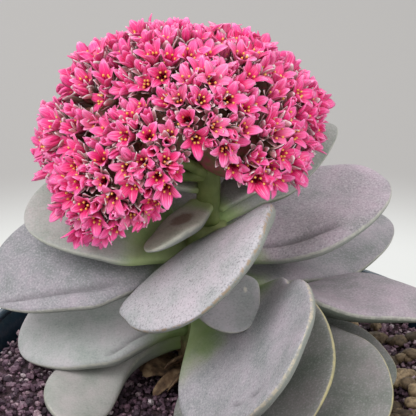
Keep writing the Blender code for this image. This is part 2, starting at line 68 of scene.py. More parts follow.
# Leaves. Angles in degrees: heading 0 is +X, 90 is away, 180 is -X, 270 is the front.
# Each swell is a side (1 is left of the midrib), a share of the length, a span and a height.
Leaf = namedtuple("Leaf", "height heading rise roll length half thick sweep neck full swells",
                  defaults=(0.0065, 0, 0.26, 0.55, ()))
LEAVES = {
    "leaf_left_1": Leaf(0.1235, 185, (51, -17), (-22, -22), 0.0510, 0.0190, 0.0055),
    "leaf_left_2": Leaf(0.1175, 187, (37, -41), (-18, -27), 0.0605, 0.0193),
    "leaf_left_3": Leaf(0.1043, 186, (17, -32), (-16, -22), 0.0500, 0.0187),
    "leaf_left_4": Leaf(0.0990, 176, (-9, -7), (12, -15), 0.0559, 0.0122, 0.0060, 112, 0.15, 0.85,
                        ((-1, 0.85, 0.20, 0.0015),)),
    "leaf_front_1": Leaf(0.1312, 266, (11, -19), (31, 42), 0.0401, 0.0272, 0.0070, full=0.5,
                         swells=((1, 0.80, 0.15, 0.0035),)),
    "leaf_front_2": Leaf(0.1187, 288, (22, -33), (29, 16), 0.0278, 0.0103, 0.0040, full=0.6),
    "leaf_front_3": Leaf(0.1136, 292, (-15, 46), (36, 52), 0.0670, 0.0249, full=0.42,
                         swells=((1, 0.45, 0.16, -0.0055), (-1, 0.45, 0.05, 0.0010),
                                 (-1, 0.56, 0.04, -0.0012), (-1, 0.66, 0.05, 0.0012))),
    "leaf_front_4": Leaf(0.1020, 295, (1, 4), (29, 39), 0.0590, 0.0268, 0.0060, full=0.5),
    "leaf_front_5": Leaf(0.0959, 314, (7, -4), (21, 29), 0.0630, 0.0243, 0.0060, full=0.5,
                         swells=((1, 0.50, 0.15, -0.0029),)),
    "leaf_front_6": Leaf(0.0912, 343, (14, -8), (14, 20), 0.0526, 0.0188, 0.0055),
    "leaf_right_1": Leaf(0.1355, 40, (21, 19), (28, 30), 0.0472, 0.0081, 0.0055),
    "leaf_right_2": Leaf(0.1256, 29, (10, 13), (29, 5), 0.0558, 0.0208, full=0.6),
    "leaf_right_3": Leaf(0.1133, 39, (3, 1), (-1, 22), 0.0674, 0.0158, 0.0060),
    "leaf_right_4": Leaf(0.1070, -6, (22, -16), (-60, 5), 0.0650, 0.0132, 0.0060,
                         swells=((-1, 0.55, 0.20, 0.0012),)),
    "leaf_back_1": Leaf(0.1315, 96, (21, 2), (-16, -10), 0.0485, 0.0191, 0.0060),
    "leaf_back_2": Leaf(0.1225, 72, (12, -4), (20, 16), 0.0530, 0.0195),
    "leaf_back_3": Leaf(0.1125, 115, (6, -4), (-18, -10), 0.0550, 0.0189),
    "leaf_back_4": Leaf(0.1020, 81, (0, 2), (14, 10), 0.0530, 0.0180, 0.0060),
    "leaf_back_5": Leaf(0.0966, 136, (3, 3), (-10, -6), 0.0477, 0.0150, 0.0060),
    "bract_front": Leaf(0.1428, 233, (-24, -3), (-2, 23), 0.0246, 0.0074, 0.0035, neck=0.5),
    "bract_left": Leaf(0.1462, 166, (6, 4), (-8, 0), 0.0150, 0.0046, 0.0028, neck=0.5),
    "bract_right": Leaf(0.1400, 30, (30, 10), (10, 0), 0.0236, 0.0065, 0.0035, neck=0.5),
}
LEAF_STATIONS = 72
LEAF_AROUND = 52
LEAF_DENTS = 0.0005

# Flower clusters: the middle and the outer radius of each ball of flowers in the dome
Cyme = namedtuple("Cyme", "middle radius")
CYMES = {
    "cyme_front_left": Cyme((-0.0284, -0.0070, 0.1531), 0.0174),
    "cyme_left": Cyme((-0.0340, 0.0080, 0.1590), 0.0168),
    "cyme_upper_left": Cyme((-0.0264, 0.0137, 0.1696), 0.0178),
    "cyme_top": Cyme((-0.0135, 0.0090, 0.1753), 0.0183),
    "cyme_front": Cyme((-0.0180, -0.0075, 0.1620), 0.0168),
    "cyme_middle": Cyme((-0.0050, -0.0040, 0.1710), 0.0168),
    "cyme_upper_right": Cyme((0.0014, 0.0127, 0.1720), 0.0180),
    "cyme_right": Cyme((0.0116, 0.0118, 0.1656), 0.0170),
    "cyme_front_right": Cyme((0.0087, -0.0003, 0.1610), 0.0163),
    "cyme_back_left": Cyme((-0.0239, 0.0273, 0.1620), 0.0170),
    "cyme_back": Cyme((-0.0072, 0.0291, 0.1648), 0.0183),
    "cyme_back_right": Cyme((0.0060, 0.0260, 0.1652), 0.0158),
}
CYME_MIDDLES = np.array([cyme.middle for cyme in CYMES.values()])
CYME_RADII = np.array([cyme.radius for cyme in CYMES.values()])
DOME_HEART = np.array([-0.010, 0.009, 0.156])
PETALS = 5
FLORET_COUNT = 300
BUD_COUNT = 210
FACING_STALK = 0.80
EVENING_ROUNDS = 12
SURFACE_POINTS = 3000
VALLEY_ANGLE = 18
VALLEY_DEPTH = 0.0020
HEART_DEPTH = 0.0100
STALK_GAP = (-0.0065, -0.0080, 0.1540)

# The dome's lower edge as the front shows it, left to right: x, and height across the view, in mm
DOME_FOOT = ((-51, 7), (-47, 2), (-43, -3), (-39, -8.5), (-33, -11), (-27, -9.5), (-22, -7), (-16, -4),
             (-12, 5), (-8, 12), (-4.6, 13.5), (-2.4, 15), (-0.5, 10), (4.8, 5), (17, 4), (24, 7))

# Places of a flower's looks in its list of materials
PETAL_LOOK, SEPAL_LOOK, ANTHER_LOOK, CARPEL_LOOK, STALK_LOOK = range(5)

# Stem's rings, bark and dry leaves
SCAR_RISE = 0.0003
SCARS_PER_RADIAN = 1100
BARK_TOP = 0.100
DRY_LEAVES = 9

# Gravel: the heap's grid reaches HEAP_HALF from the middle in cells of HEAP_CELL
GRAINS = 5400
PEBBLES = 46
PEBBLE_ARC = (-34, 44)
PEBBLE_RING = (0.046, 0.0625)
STONE_FLATNESS = 0.75
HEAP_HALF = 0.070
HEAP_CELL = 0.001
HEAP_RISE = 0.0065
LEAF_CLEARANCE = 0.0014

# Stage: each light's place, width and power
FLOOR_REACH = 6.0
LIGHT_AIM = 0.13
LIGHTS = (("key", (-0.55, -0.55, 1.0), 0.75, 7.8), ("fill", (0.8, -0.6, 0.7), 0.9, 4.0),
          ("back", (-0.2, 0.9, 0.8), 0.7, 4.5))

# Camera: the photograph's frame is square
TARGET = np.array([-0.0038, 0.009, 0.140])
ELEVATION = 24
DISTANCE = 0.50
LENS = 161


def srgb(red, green, blue):
    """Linear colour of an 8-bit screen colour."""
    value = np.array([red, green, blue]) / 255
    linear = np.where(value <= 0.04045, value / 12.92, ((value + 0.055) / 1.055) ** 2.4)
    return (*[float(part) for part in linear], 1.0)


def ease(start, end, value):
    share = np.clip((value - start) / (end - start), 0, 1)
    return share * share * (3 - 2 * share)


def unit(vectors):
    return vectors / np.linalg.norm(vectors, axis=-1, keepdims=True)


def waves(points, size, seed, count=7):
    """Smooth noise of about -1 to 1: a sum of sines along seeded directions, about size apart."""
    chance = np.random.default_rng(seed)
    total = np.zeros(points.shape[:-1])
    for _ in range(count):
        way = unit(chance.normal(size=3)) * chance.uniform(0.7, 1.5) * 2 * pi / size
        total += np.sin(points @ way + chance.uniform(0, 2 * pi))
    return total / sqrt(count)


def circle(count):
    """Angles all round, the last one a step short of the first."""
    return 2 * pi * np.arange(count) / count


def round_z(radius, turn, height):
    """Points at radii, angles and heights round Z."""
    return np.stack([radius * np.cos(turn), radius * np.sin(turn), height + 0 * turn], axis=-1)


def sphere_ways(stations, around, cut):
    """Directions in rings from the lowest to the highest, short of the poles by the cut angle."""
    polar = np.linspace(cut, pi - cut, stations)[::-1, None]
    return round_z(np.sin(polar), circle(around)[None], np.cos(polar))


# Meshes


def place_object(name, data):
    made = bpy.data.objects.new(name, data)
    bpy.context.scene.collection.objects.link(made)
    return made


def add_values(mesh, label, values):
    layer = mesh.attributes.new(label, "FLOAT", "POINT")
    layer.data.foreach_set("value", values.astype(np.float32))


class Skin:
    """Gathers closed forms, each a stack of rings, into one mesh.

    Rings come as an array (forms, stations, around, 3). Neighbouring rings are joined by
    quads, and the first and last ring of each form are closed by a face of their own.
    """

    def __init__(self):
        self.points, self.faces, self.materials, self.values = [], [], [], []
        self.count = 0

    def add(self, rings, material=0, **values):
        forms, stations, around = rings.shape[:3]
        index = self.count + np.arange(forms * stations * around).reshape(forms, stations, around)
        after = np.roll(index, -1, axis=2)
        quads = np.stack([index[:, :-1], after[:, :-1], after[:, 1:], index[:, 1:]], axis=-1)
        groups = [quads.reshape(-1, 4), index[:, 0, ::-1], index[:, -1]]
        self.faces += groups
        self.materials += [np.full(len(group), material) for group in groups]
        self.points.append(rings.reshape(-1, 3))
        flat = {name: np.broadcast_to(value, rings.shape[:3]).ravel() for name, value in values.items()}
        self.values.append((rings[..., 0].size, flat))
        self.count += rings[..., 0].size

    def build(self, name, materials):
        mesh = bpy.data.meshes.new(name)
        points = np.concatenate(self.points)
        corners = np.concatenate([group.ravel() for group in self.faces])
        totals = np.concatenate([np.full(len(group), group.shape[1]) for group in self.faces])
        mesh.vertices.add(len(points))
        mesh.vertices.foreach_set("co", points.ravel().astype(np.float32))
        mesh.loops.add(len(corners))
        mesh.loops.foreach_set("vertex_index", corners.astype(np.int32))
        mesh.polygons.add(len(totals))
        mesh.polygons.foreach_set("loop_start", (np.cumsum(totals) - totals).astype(np.int32))
        mesh.polygons.foreach_set("material_index", np.concatenate(self.materials).astype(np.int32))
        mesh.update(calc_edges=True)
        mesh.polygons.foreach_set("use_smooth", np.full(len(totals), True))
        for label in sorted({label for _, flat in self.values for label in flat}):
            whole = [flat.get(label, np.zeros(size)) for size, flat in self.values]
            add_values(mesh, label, np.concatenate(whole))
        for material in materials:
            mesh.materials.append(material)
        mesh.validate()
        return place_object(name, mesh)


def finish_piece(piece, slot, *nodes):
    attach(piece, "root")
    if nodes:
        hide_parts(*nodes)


def make_piece(name, forms, material, slot, *nodes, **values):
    """One piece made of closed forms, each a stack of rings."""
    skin = Skin()
    for rings in forms:
        skin.add(rings, **values)
    finish_piece(skin.build(name, [material]), slot, *nodes)


def turned_rings(profile, around):
    """A profile of (radius, height) points, outer side from the top down, carried round Z."""
    profile = np.array(profile)
    turn = np.linspace(0, 2 * pi, around, endpoint=False)
    ring = np.stack([np.cos(turn), np.sin(turn), np.zeros(around)], axis=1)
    lift = np.array([0, 0, 1])
    return (profile[:, 0, None, None] * ring + profile[:, 1, None, None] * lift)[None]


def tube_rings(path, radii, around):
    """Rings of the given radii across a smooth path, turned as little as they can be."""
    ahead = unit(np.gradient(path, axis=0))
    aside = unit(np.cross(ahead, [0.31, 0.95, 0.02]))
    above = np.cross(ahead, aside)
    turn = np.linspace(0, 2 * pi, around, endpoint=False)[None, :, None]
    ring = np.cos(turn) * aside[:, None] + np.sin(turn) * above[:, None]
    return (path[:, None] + ring * np.broadcast_to(radii, len(path))[:, None, None])[None]


# Shader building


class Value:
    """An output of a shader node, which can be added, taken away and multiplied."""

    def __init__(self, tree, socket):
        self.tree, self.socket = tree, socket

    def __add__(self, other):
        return maths("ADD", self, other)

    def __sub__(self, other):
        return maths("SUBTRACT", self, other)

    def __rsub__(self, other):
        return maths("SUBTRACT", other, self)

    def __mul__(self, other):
        return maths("MULTIPLY", self, other)

    def __abs__(self):
        return maths("ABSOLUTE", self)


def feed(tree, socket, source):
    """Links a value to a socket, or sets it from a number or a screen colour."""
    if isinstance(source, Value):
        tree.links.new(source.socket, socket)
    else:
        socket.default_value = srgb(*source) if isinstance(source, tuple) else source


def add_node(tree, kind, sources=(), output=0, **settings):
    """Adds a node, feeds its inputs from pairs of a name or number and a source, and gives an output."""
    made = tree.nodes.new("ShaderNode" + kind)
    for name, value in settings.items():
        setattr(made, name, value)
    for socket, source in sources:
        feed(tree, made.inputs[socket], source)
    return Value(tree, made.outputs[output])


def tree_of(*sources):
    return next(source.tree for source in sources if isinstance(source, Value))


def maths(operation, *sources):
    return add_node(tree_of(*sources), "Math", enumerate(sources), operation=operation)


def scaled(value, factor, offset):
    return maths("MULTIPLY_ADD", value, factor, offset)


def spread(value, low, high, start=0.0, end=1.0):
    """A value brought smoothly from low..high to start..end."""
    labels = ("Value", "From Min", "From Max", "To Min", "To Max")
    return add_node(value.tree, "MapRange", zip(labels, (value, low, high, start, end)),
                    interpolation_type="SMOOTHSTEP")


def blend(share, first, second, mode="MIX"):
    """Mixes two colours. The node's colour sockets are numbers 6 and 7, and 2 for its result."""
    return add_node(tree_of(share, first, second), "Mix", zip((0, 6, 7), (share, first, second)), 2,
                    data_type="RGBA", blend_type=mode)


def ramp(value, *stops):
    """A colour that goes through stops, each a place and a screen colour."""
    made = value.tree.nodes.new("ShaderNodeValToRGB")
    feed(value.tree, made.inputs[0], value)
    elements = made.color_ramp.elements
    for element, (place, colour) in zip(elements, (stops[0], stops[-1])):
        element.position, element.color = place, srgb(*colour)
    for place, colour in stops[1:-1]:
        elements.new(place).color = srgb(*colour)
    return Value(value.tree, made.outputs[0])


def attribute(tree, name):
    return add_node(tree, "Attribute", output="Fac", attribute_name=name)


def spot(tree):
    return add_node(tree, "TexCoord", output="Object")


def height_above(tree):
    return add_node(tree, "SeparateXYZ", [(0, spot(tree))], "Z")


def noise(tree, scale, detail=2.0, roughness=0.5):
    return add_node(tree, "TexNoise", [("Vector", spot(tree)), ("Scale", scale), ("Detail", detail),
                                       ("Roughness", roughness)], "Fac")


def new_material(name):
    material = bpy.data.materials.new(name)
    material.use_nodes = True
    return material, material.node_tree


def dress(material, colour, roughness, height=None, strength=0.0, depth=0.0, plain=()):
    """Feeds a material's shader its colour, roughness, bumps and plain values."""
    tree = material.node_tree
    shader = tree.nodes["Principled BSDF"]
    for label, source in (("Base Color", colour), ("Roughness", roughness), *plain):
        feed(tree, shader.inputs[label], source)
    if height is not None:
        bumps = add_node(tree, "Bump", [("Strength", strength), ("Distance", depth), ("Height", height)])
        feed(tree, shader.inputs["Normal"], bumps)
    return material


# Plain materials: roughness, what the colour follows (noise of a scale and detail, or a
# value of the mesh), its stops, the bumps' scale, detail, strength and depth, and a mottle to
# multiply by: its share, scale, detail and stops. A roughness of four numbers follows the value.
Plain = namedtuple("Plain", "roughness follows stops bumps mottle", defaults=(None, None))
PLAINS = {
    "dry_leaf": Plain(0.85, (420, 4), ((0.3, (70, 54, 44)), (0.5, (118, 92, 70)), (0.72, (166, 140, 110))),
                      (1300, 3, 0.6, 0.0003)),
    "stalk_green": Plain(0.6, (260, 4), ((0.3, (88, 104, 52)), (0.7, (124, 138, 78))),
                         (1500, 3, 0.4, 0.0003)),
    "anther": Plain(0.6, (3000, 2), ((0.35, (226, 160, 56)), (0.6, (252, 218, 124)))),
    "carpel": Plain(0.4, "along", ((0.0, (92, 4, 30)), (1.0, (168, 14, 60)))),
    "pedicel": Plain(0.65, (500, 3), ((0.35, (112, 100, 62)), (0.5, (136, 92, 76)), (0.7, (160, 72, 86))),
                     (1800, 2, 0.4, 0.0002)),
    "dark_soil": Plain(0.9, (1200, 4), ((0.3, (48, 36, 42)), (0.7, (96, 72, 80))), (1200, 4, 0.8, 0.0006)),
    "purple_grit": Plain((0.3, 1.0, 0.75, 0.3), "tone",
                         ((0.0, (60, 44, 56)), (0.35, (92, 68, 84)), (0.6, (120, 92, 108)),
                          (0.82, (140, 108, 124)), (0.94, (172, 146, 154)), (1.0, (214, 202, 206))),
                         (2400, 3, 0.4, 0.0002),
                         (0.7, 1500, 3, (0.35, (150, 140, 150)), (0.65, (255, 250, 252)))),
    "brown_pebble": Plain(0.7, "tone", ((0.0, (84, 70, 54)), (0.5, (132, 112, 88)), (1.0, (178, 156, 126))),
                          (1500, 3, 0.6, 0.0003),
                          (0.85, 900, 4, (0.3, (130, 120, 110)), (0.65, (255, 252, 246)))),
}


def plain_material(name):
    plain = PLAINS[name]
    material, tree = new_material(name)
    by_value = isinstance(plain.follows, str)
    source = attribute(tree, plain.follows) if by_value else noise(tree, *plain.follows)
    colour = ramp(source, *plain.stops)
    if plain.mottle:
        share, scale, detail, *stops = plain.mottle
        colour = blend(share, colour, ramp(noise(tree, scale, detail), *stops), "MULTIPLY")
    roughness = spread(source, *plain.roughness) if isinstance(plain.roughness, tuple) else plain.roughness
    if not plain.bumps:
        return dress(material, colour, roughness)
    scale, detail, strength, depth = plain.bumps
    return dress(material, colour, roughness, noise(tree, scale, detail), strength, depth)


# Effects that all leaves share, as node groups: a name, inputs, outputs and what fills them


def felt(tree):
    """Felt of tiny scales: pale specks, dark specks and their height, at about 0.3 mm."""
    fine = noise(tree, 1900, 1.5, 0.6)
    grain = add_node(tree, "TexVoronoi", [("Vector", spot(tree)), ("Scale", 2600)], "Distance")
    return spread(fine, 0.52, 0.68), spread(fine, 0.46, 0.32), fine - grain * 0.4


def margin_line(tree, rim, along, dots):
    """The pale line along a leaf's edge, which wanders and breaks off towards the foot.

    Rim is the distance from the edge in mm, positive on top, and Along is the share of
    the leaf's length. Dots breaks the line up, from 0 for none of it to 1.
    """
    line = rim + scaled(noise(tree, 420), 0.7, -0.35)
    edge = spread(line, 0.75, 0.25) * spread(line, -0.85, -0.35) * spread(along, 0.14, 0.36)
    return [edge * (1.0 - dots * spread(noise(tree, 700), 0.56, 0.46))]


def green_foot(tree, along, reach):
    """The bare green foot of a leaf, up to about Reach of its length."""
    return [spread(scaled(noise(tree, 110, 3.0), 0.20, along), reach + 0.22, reach)]


GROUPS = {"felt": ((), ("Light", "Dark", "Height"), felt),
          "margin": (("Rim", "Along", "Dots"), ("Line",), margin_line),
          "green_foot": (("Along", "Reach"), ("Bare",), green_foot)}


def make_group(name):
    inputs, outputs, fill = GROUPS[name]
    group = bpy.data.node_groups.new(name, "ShaderNodeTree")
    for labels, way in ((inputs, "INPUT"), (outputs, "OUTPUT")):
        for label in labels:
            group.interface.new_socket(label, in_out=way, socket_type="NodeSocketFloat")
    given = group.nodes.new("NodeGroupInput").outputs
    out = group.nodes.new("NodeGroupOutput").inputs
    for label, value in zip(outputs, fill(group, *[Value(group, given[label]) for label in inputs])):
        feed(group, out[label], value)
    return group


def use_group(tree, group, **sources):
    """Places a node group with its inputs fed, and gives its outputs in their order."""
    made = tree.nodes.new("ShaderNodeGroup")
    made.node_tree = group
    for label, source in sources.items():
        feed(tree, made.inputs[label], source)
    return [Value(tree, output) for output in made.outputs]


# Looks of the leaves: the face's colour, how strong the specks are, how broken the margin is,
# how far the green foot reaches, and the colours of the margin and the underside
FACE_GREEN = (150, 152, 148)
# Painted shade: a dimmer face colour for the low front leaves, which lie in shade
FACE_PAINTED_SHADE = (134, 134, 131)
UNDER_PALE = (142, 146, 140)
UNDER_GREEN = (126, 134, 118)
# Painted shade: a darker underside colour for the leaves that lie in shade, low in front and at the right
UNDER_PAINTED_SHADE = (98, 104, 94)
MARGIN_PALE = (196, 196, 184)
MARGIN_CREAM = (206, 194, 142)
Finish = namedtuple("Finish", "face speckle dots foot margin under",
                    defaults=(0.4, 0.4, 0.14, MARGIN_PALE, UNDER_PALE))
FINISHES = {
    "leaf_left_1": Finish((160, 163, 158), 0.3, 0.3, 0.44),
    "leaf_left_2": Finish((150, 148, 153), 0.5),
    "leaf_left_3": Finish((172, 173, 173), 0.3, 0.4, 0.20),
    "leaf_left_4": Finish((164, 164, 160), 0.22, 0.5, 0.16),
    "leaf_front_1": Finish((184, 182, 187), 0.80, 0.9, 0.06, (172, 148, 122)),
    "leaf_front_2": Finish((178, 176, 180), 0.35),
    "leaf_front_3": Finish((162, 160, 165), 0.60, 0.7, 0.26, (198, 186, 164)),
    # The low front leaves take painted shade in their face and underside colours, and the lowest right leaf
    # in its underside
    "leaf_front_4": Finish(FACE_PAINTED_SHADE, 0.35, 0.3, 0.16, MARGIN_CREAM, UNDER_PAINTED_SHADE),
    "leaf_front_5": Finish(FACE_PAINTED_SHADE, 0.3, 0.3, 0.16, MARGIN_CREAM, UNDER_PAINTED_SHADE),
    "leaf_front_6": Finish(FACE_PAINTED_SHADE, 0.3, margin=MARGIN_CREAM, under=UNDER_PAINTED_SHADE),
    "leaf_right_1": Finish(FACE_GREEN, 0.3, under=UNDER_GREEN),
    "leaf_right_2": Finish((166, 157, 165), 0.65),
    "leaf_right_3": Finish((154, 150, 155), under=UNDER_GREEN),
    "leaf_right_4": Finish((154, 145, 152), under=UNDER_PAINTED_SHADE),
    "bract_front": Finish((186, 186, 174)),
    "bract_left": Finish((176, 180, 166)),
}
PLAIN_FINISH = Finish(FACE_GREEN, under=UNDER_GREEN)

# Marks on the leaves: which colour, then share of the length, place across as a share of
# the half width (positive to the left of the midrib), and their two radii in mm
Mark = namedtuple("Mark", "kind share across along_size across_size")
MARKS = {
    "leaf_front_1": [Mark("brown", 0.36, -0.88, 1.0, 0.7), Mark("brown", 0.44, -0.93, 0.6, 0.5),
                     Mark("brown", 0.55, 0.86, 0.5, 0.4)],
    "leaf_front_2": [Mark("white", 0.60, 0.45, 0.9, 0.7)],
    "leaf_front_3": [Mark("white", 0.52, -0.90, 0.5, 0.5), Mark("white", 0.60, -0.92, 0.5, 0.5),
                     Mark("brown", 0.70, 0.96, 0.7, 0.5)],
    "leaf_front_5": [Mark("white", 0.72, 0.42, 2.4, 0.45), Mark("brown", 0.90, -0.50, 0.9, 0.7)],
    # bract_front's large brown mark is painted shade, where the flowers above shade it
    "bract_front": [Mark("brown", 0.42, 0.10, 4.2, 3.2)],
    "leaf_right_1": [Mark("brown", 0.80, 0.30, 0.8, 0.6)],
}
# Creases in the leaves' tops, darkened with painted shade: from one share of the length and place across to
# another, and their depth and width in mm
Crease = namedtuple("Crease", "start end across_start across_end depth width")
CREASES = {
    "leaf_left_2": [Crease(0.42, 0.94, 0.62, 0.46, 1.5, 1.5)],
    "leaf_left_3": [Crease(0.22, 0.50, 0.55, 0.80, 1.2, 1.5)],
    "leaf_front_3": [Crease(0.62, 0.82, -0.62, -0.40, 1.2, 1.2)],
    "leaf_front_5": [Crease(0.60, 0.80, 0.45, 0.55, 0.5, 1.2)],
    "leaf_right_2": [Crease(0.20, 0.55, -0.35, -0.62, 1.6, 2.0)],
}
MARK_COLOURS = {"brown": (122, 92, 84), "white": (226, 220, 208)}


def make_leaf_material(name, finish, groups):
    """Felt with a bare green foot, a pale margin line, marks, a greener underside and painted shade in the
    creases.
    """
    material, tree = new_material("felt_" + name)
    along, level, rim = [attribute(tree, label) for label in ("along", "level", "rim")]
    patch = noise(tree, 90, 4.0, 0.62)
    light, dark, height = use_group(tree, groups["felt"])
    line, = use_group(tree, groups["margin"], Rim=rim, Along=along, Dots=finish.dots)
    bare, = use_group(tree, groups["green_foot"], Along=along, Reach=finish.foot)
    warm = tuple(min(255, value + bit) for value, bit in zip(finish.face, (16, 9, 13)))
    cool = tuple(value - bit for value, bit in zip(finish.face, (22, 15, 20)))
    face = ramp(patch, (0.3, cool), (0.5, finish.face), (0.7, warm))
    under = ramp(patch, (0.3, finish.under), (0.7, tuple(value + 10 for value in finish.under)))
    green = ramp(patch, (0.3, (132, 160, 94)), (0.7, (170, 186, 130)))
    topside = spread(level, -0.12, 0.10)
    strength = scaled(topside, 0.7, 0.3) * finish.speckle
    colour = blend(topside, under, face)
    colour = blend(light * (strength * 0.50), colour, (214, 206, 213))
    colour = blend(dark * (strength * 0.55), colour, (92, 84, 92))
    colour = blend(line * 0.72, colour, finish.margin)
    colour = blend(bare * 0.92, colour, green)
    # Painted shade: the creases are darkened where they sink
    if name in CREASES:
        colour = blend(spread(attribute(tree, "sunk"), 0.2, 1.3, 0.0, 0.5), colour, (96, 92, 96))
    # Marks: brown and white spots, and on bract_front a brown patch of painted shade
    for kind in sorted({mark.kind for mark in MARKS.get(name, ())}):
        ragged = scaled(noise(tree, 700, 3.0), 0.5, attribute(tree, kind))
        colour = blend(spread(ragged, 0.50, 1.05, 0.0, 0.75), colour, MARK_COLOURS[kind])
    return dress(material, colour, 0.78, height, 0.30, 0.00016, [("Specular IOR Level", 0.2)])


def midrib(leaf, share):
    """Place and direction along a leaf that starts at the origin and heads for +X."""
    steps = np.linspace(0, 1, 97)
    climb = np.radians(leaf.rise[0] + (leaf.rise[1] - leaf.rise[0]) * steps)
    turn = np.radians(leaf.sweep * steps)
    way = np.stack([np.cos(climb) * np.cos(turn), np.cos(climb) * np.sin(turn), np.sin(climb)], axis=1)
    path = np.cumsum((way[1:] + way[:-1]) / 2, axis=0) * leaf.length / (len(steps) - 1)
    path = np.vstack([np.zeros(3), path])
    place = np.stack([np.interp(share, steps, path[:, axis]) for axis in range(3)], axis=-1)
    ahead = np.stack([np.interp(share, steps, way[:, axis]) for axis in range(3)], axis=-1)
    return place, unit(ahead)


def leaf_skin(leaf, share, turn, margin=0.0):
    """A leaf's skin at a share of its length and an angle round its section.

    The half width is half * body * tip, with body growing from the neck to full and
    tip = sqrt(1 - share^3.2), plus the swells and a waviness of the margin. The section is
    0.44 * depth high above, with rounded shoulders, swollen 0.72 * depth beneath, and
    cupped by 0.10 * out^2 / half.
    """
    place, ahead = midrib(leaf, share)
    side = unit(np.stack([-ahead[..., 1], ahead[..., 0], np.zeros_like(share)], axis=-1))
    over = np.cross(ahead, side)
    roll = np.radians(leaf.roll[0] + (leaf.roll[1] - leaf.roll[0]) * ease(0, 0.7, share))[..., None]
    across = np.cos(roll) * side + np.sin(roll) * over
    above = -np.sin(roll) * side + np.cos(roll) * over
    cap = np.sqrt(np.clip(1 - (1 - np.clip(share / 0.06, 0, 1)) ** 2, 0, 1))
    body = leaf.neck + (1 - leaf.neck) * ease(0, leaf.full, share)
    tip = np.sqrt(np.clip(1 - share ** 3.2, 0, 1)) * cap
    half = leaf.half * body * tip * (1 + margin)
    depth = leaf.thick * (0.62 + 0.38 * ease(0, 0.4, share) - 0.30 * ease(0.45, 1, share))
    depth = depth * np.sqrt(np.clip(1 - share ** 6, 0, 1)) * cap
    level, out = np.sin(turn), np.cos(turn)
    for side_sign, centre, span, more in leaf.swells:
        bulge = more * np.exp(-((share - centre) / span) ** 2) * tip
        half = half + np.where(side_sign * out > 0, bulge, 0)
    out = np.sign(out) * np.abs(out) ** np.where(level >= 0, 0.68, 0.60)
    lift = np.where(level >= 0, 0.44 * np.abs(level) ** 0.80, -0.72 * np.abs(level) ** 0.70)
    cup = 0.10 * (out * half) ** 2 / leaf.half
    return place + across * (out * half)[..., None] + above * (lift * depth + cup)[..., None]


def stem_share(height):
    return (height - STEM_FOOT[2]) / (STEM_TOP[2] - STEM_FOOT[2])


def stem_middle(height):
    return STEM_FOOT + (STEM_TOP - STEM_FOOT) * stem_share(height)


def stem_radius(height):
    return STEM_RADII[0] + (STEM_RADII[1] - STEM_RADII[0]) * stem_share(height)


def leaf_seat(leaf):
    """Where the leaf starts: in the stem or stalk, half a radius out along its heading."""
    if leaf.height > STALK_FOOT[2]:
        along = (leaf.height - STALK_FOOT[2]) / (STALK_FORK[2] - STALK_FOOT[2])
        middle = STALK_FOOT + (STALK_FORK - STALK_FOOT) * along
        radius = STALK_RADIUS
    else:
        middle = stem_middle(leaf.height)
        radius = stem_radius(leaf.height)
    turn = radians(leaf.heading)
    return middle + 0.5 * radius * np.array([cos(turn), sin(turn), 0])


def rim_distance(rings):
    """Distance in mm round each section from the leaf's edge, over the top or underneath."""
    steps = np.linalg.norm(np.roll(rings, -1, axis=1) - rings, axis=-1)
    walked = np.cumsum(steps, axis=1) - steps
    girth = steps.sum(axis=1, keepdims=True)
    half = rings.shape[1] // 2
    first = np.minimum(walked, girth - walked)
    second = np.abs(walked - walked[:, half:half + 1])
    return np.minimum(first, second) / MM


def leaf_rings(leaf, stations, around, margin_number=None):
    """A leaf's rings in the pot's frame, with their share of the length and section angle."""
    share = (0.5 - 0.5 * np.cos(np.linspace(0.02, pi - 0.025, stations)))[:, None]
    share, turn = np.broadcast_arrays(share, circle(around)[None])
    margin = 0.0
    if margin_number is not None:
        ripple = np.sin(share * 9 + 1.7 * margin_number + np.cos(turn)) \
            + 0.6 * np.sin(share * 21 + margin_number * 2.9)
        margin = 0.010 * ripple * ease(0.15, 0.5, share)
    rings = leaf_skin(leaf, share, turn, margin)
    heading = radians(leaf.heading)
    swing = np.array([[cos(heading), sin(heading), 0], [-sin(heading), cos(heading), 0], [0, 0, 1]])
    return rings @ swing + leaf_seat(leaf), share, turn


def mark_values(name, leaf, share, turn):
    """How much of each kind of mark lies at each point: exp(-(distance / size)^2), top only."""
    values = {}
    across = np.cos(turn)
    for mark in MARKS.get(name, ()):
        along_gap = (share - mark.share) * leaf.length / (mark.along_size * MM)
        across_gap = (across - mark.across) * leaf.half / (mark.across_size * MM)
        spot = np.exp(-along_gap ** 2 - across_gap ** 2) * (np.sin(turn) > -0.2)
        values[mark.kind] = np.maximum(values.get(mark.kind, 0), spot)
    return values


def crease_depth(name, leaf, share, turn):
    """How far a leaf's creases sink its top: depth * exp(-(gap / width)^2) within their shares."""
    across = np.cos(turn)
    total = np.zeros(share.shape)
    for crease in CREASES.get(name, ()):
        place = np.interp(share, (crease.start, crease.end), (crease.across_start, crease.across_end))
        gap = (across - place) * leaf.half / (crease.width * MM)
        reach = ease(crease.start - 0.08, crease.start + 0.05, share) \
            * ease(crease.end + 0.08, crease.end - 0.05, share)
        total += crease.depth * MM * np.exp(-gap ** 2) * reach
    return total * (np.sin(turn) > 0)


def make_leaf(name, leaf, number, material):
    """A grid of stations along the leaf, closer at its ends, by angles round its section."""
    rings, share, turn = leaf_rings(leaf, LEAF_STATIONS, LEAF_AROUND, number)
    level = np.sin(turn)
    sunk = crease_depth(name, leaf, share, turn)
    rings[..., 2] += LEAF_DENTS * waves(rings, 0.022, number) * ease(0.1, 0.3, share) - sunk
    slot = "bract" if name.startswith("bract") else "leaf"
    make_piece("felted_" + name, [rings[None]], material, slot, name, along=share, level=level,
               rim=np.sign(level) * rim_distance(rings), sunk=sunk / MM,
               **mark_values(name, leaf, share, turn))


# Flowers


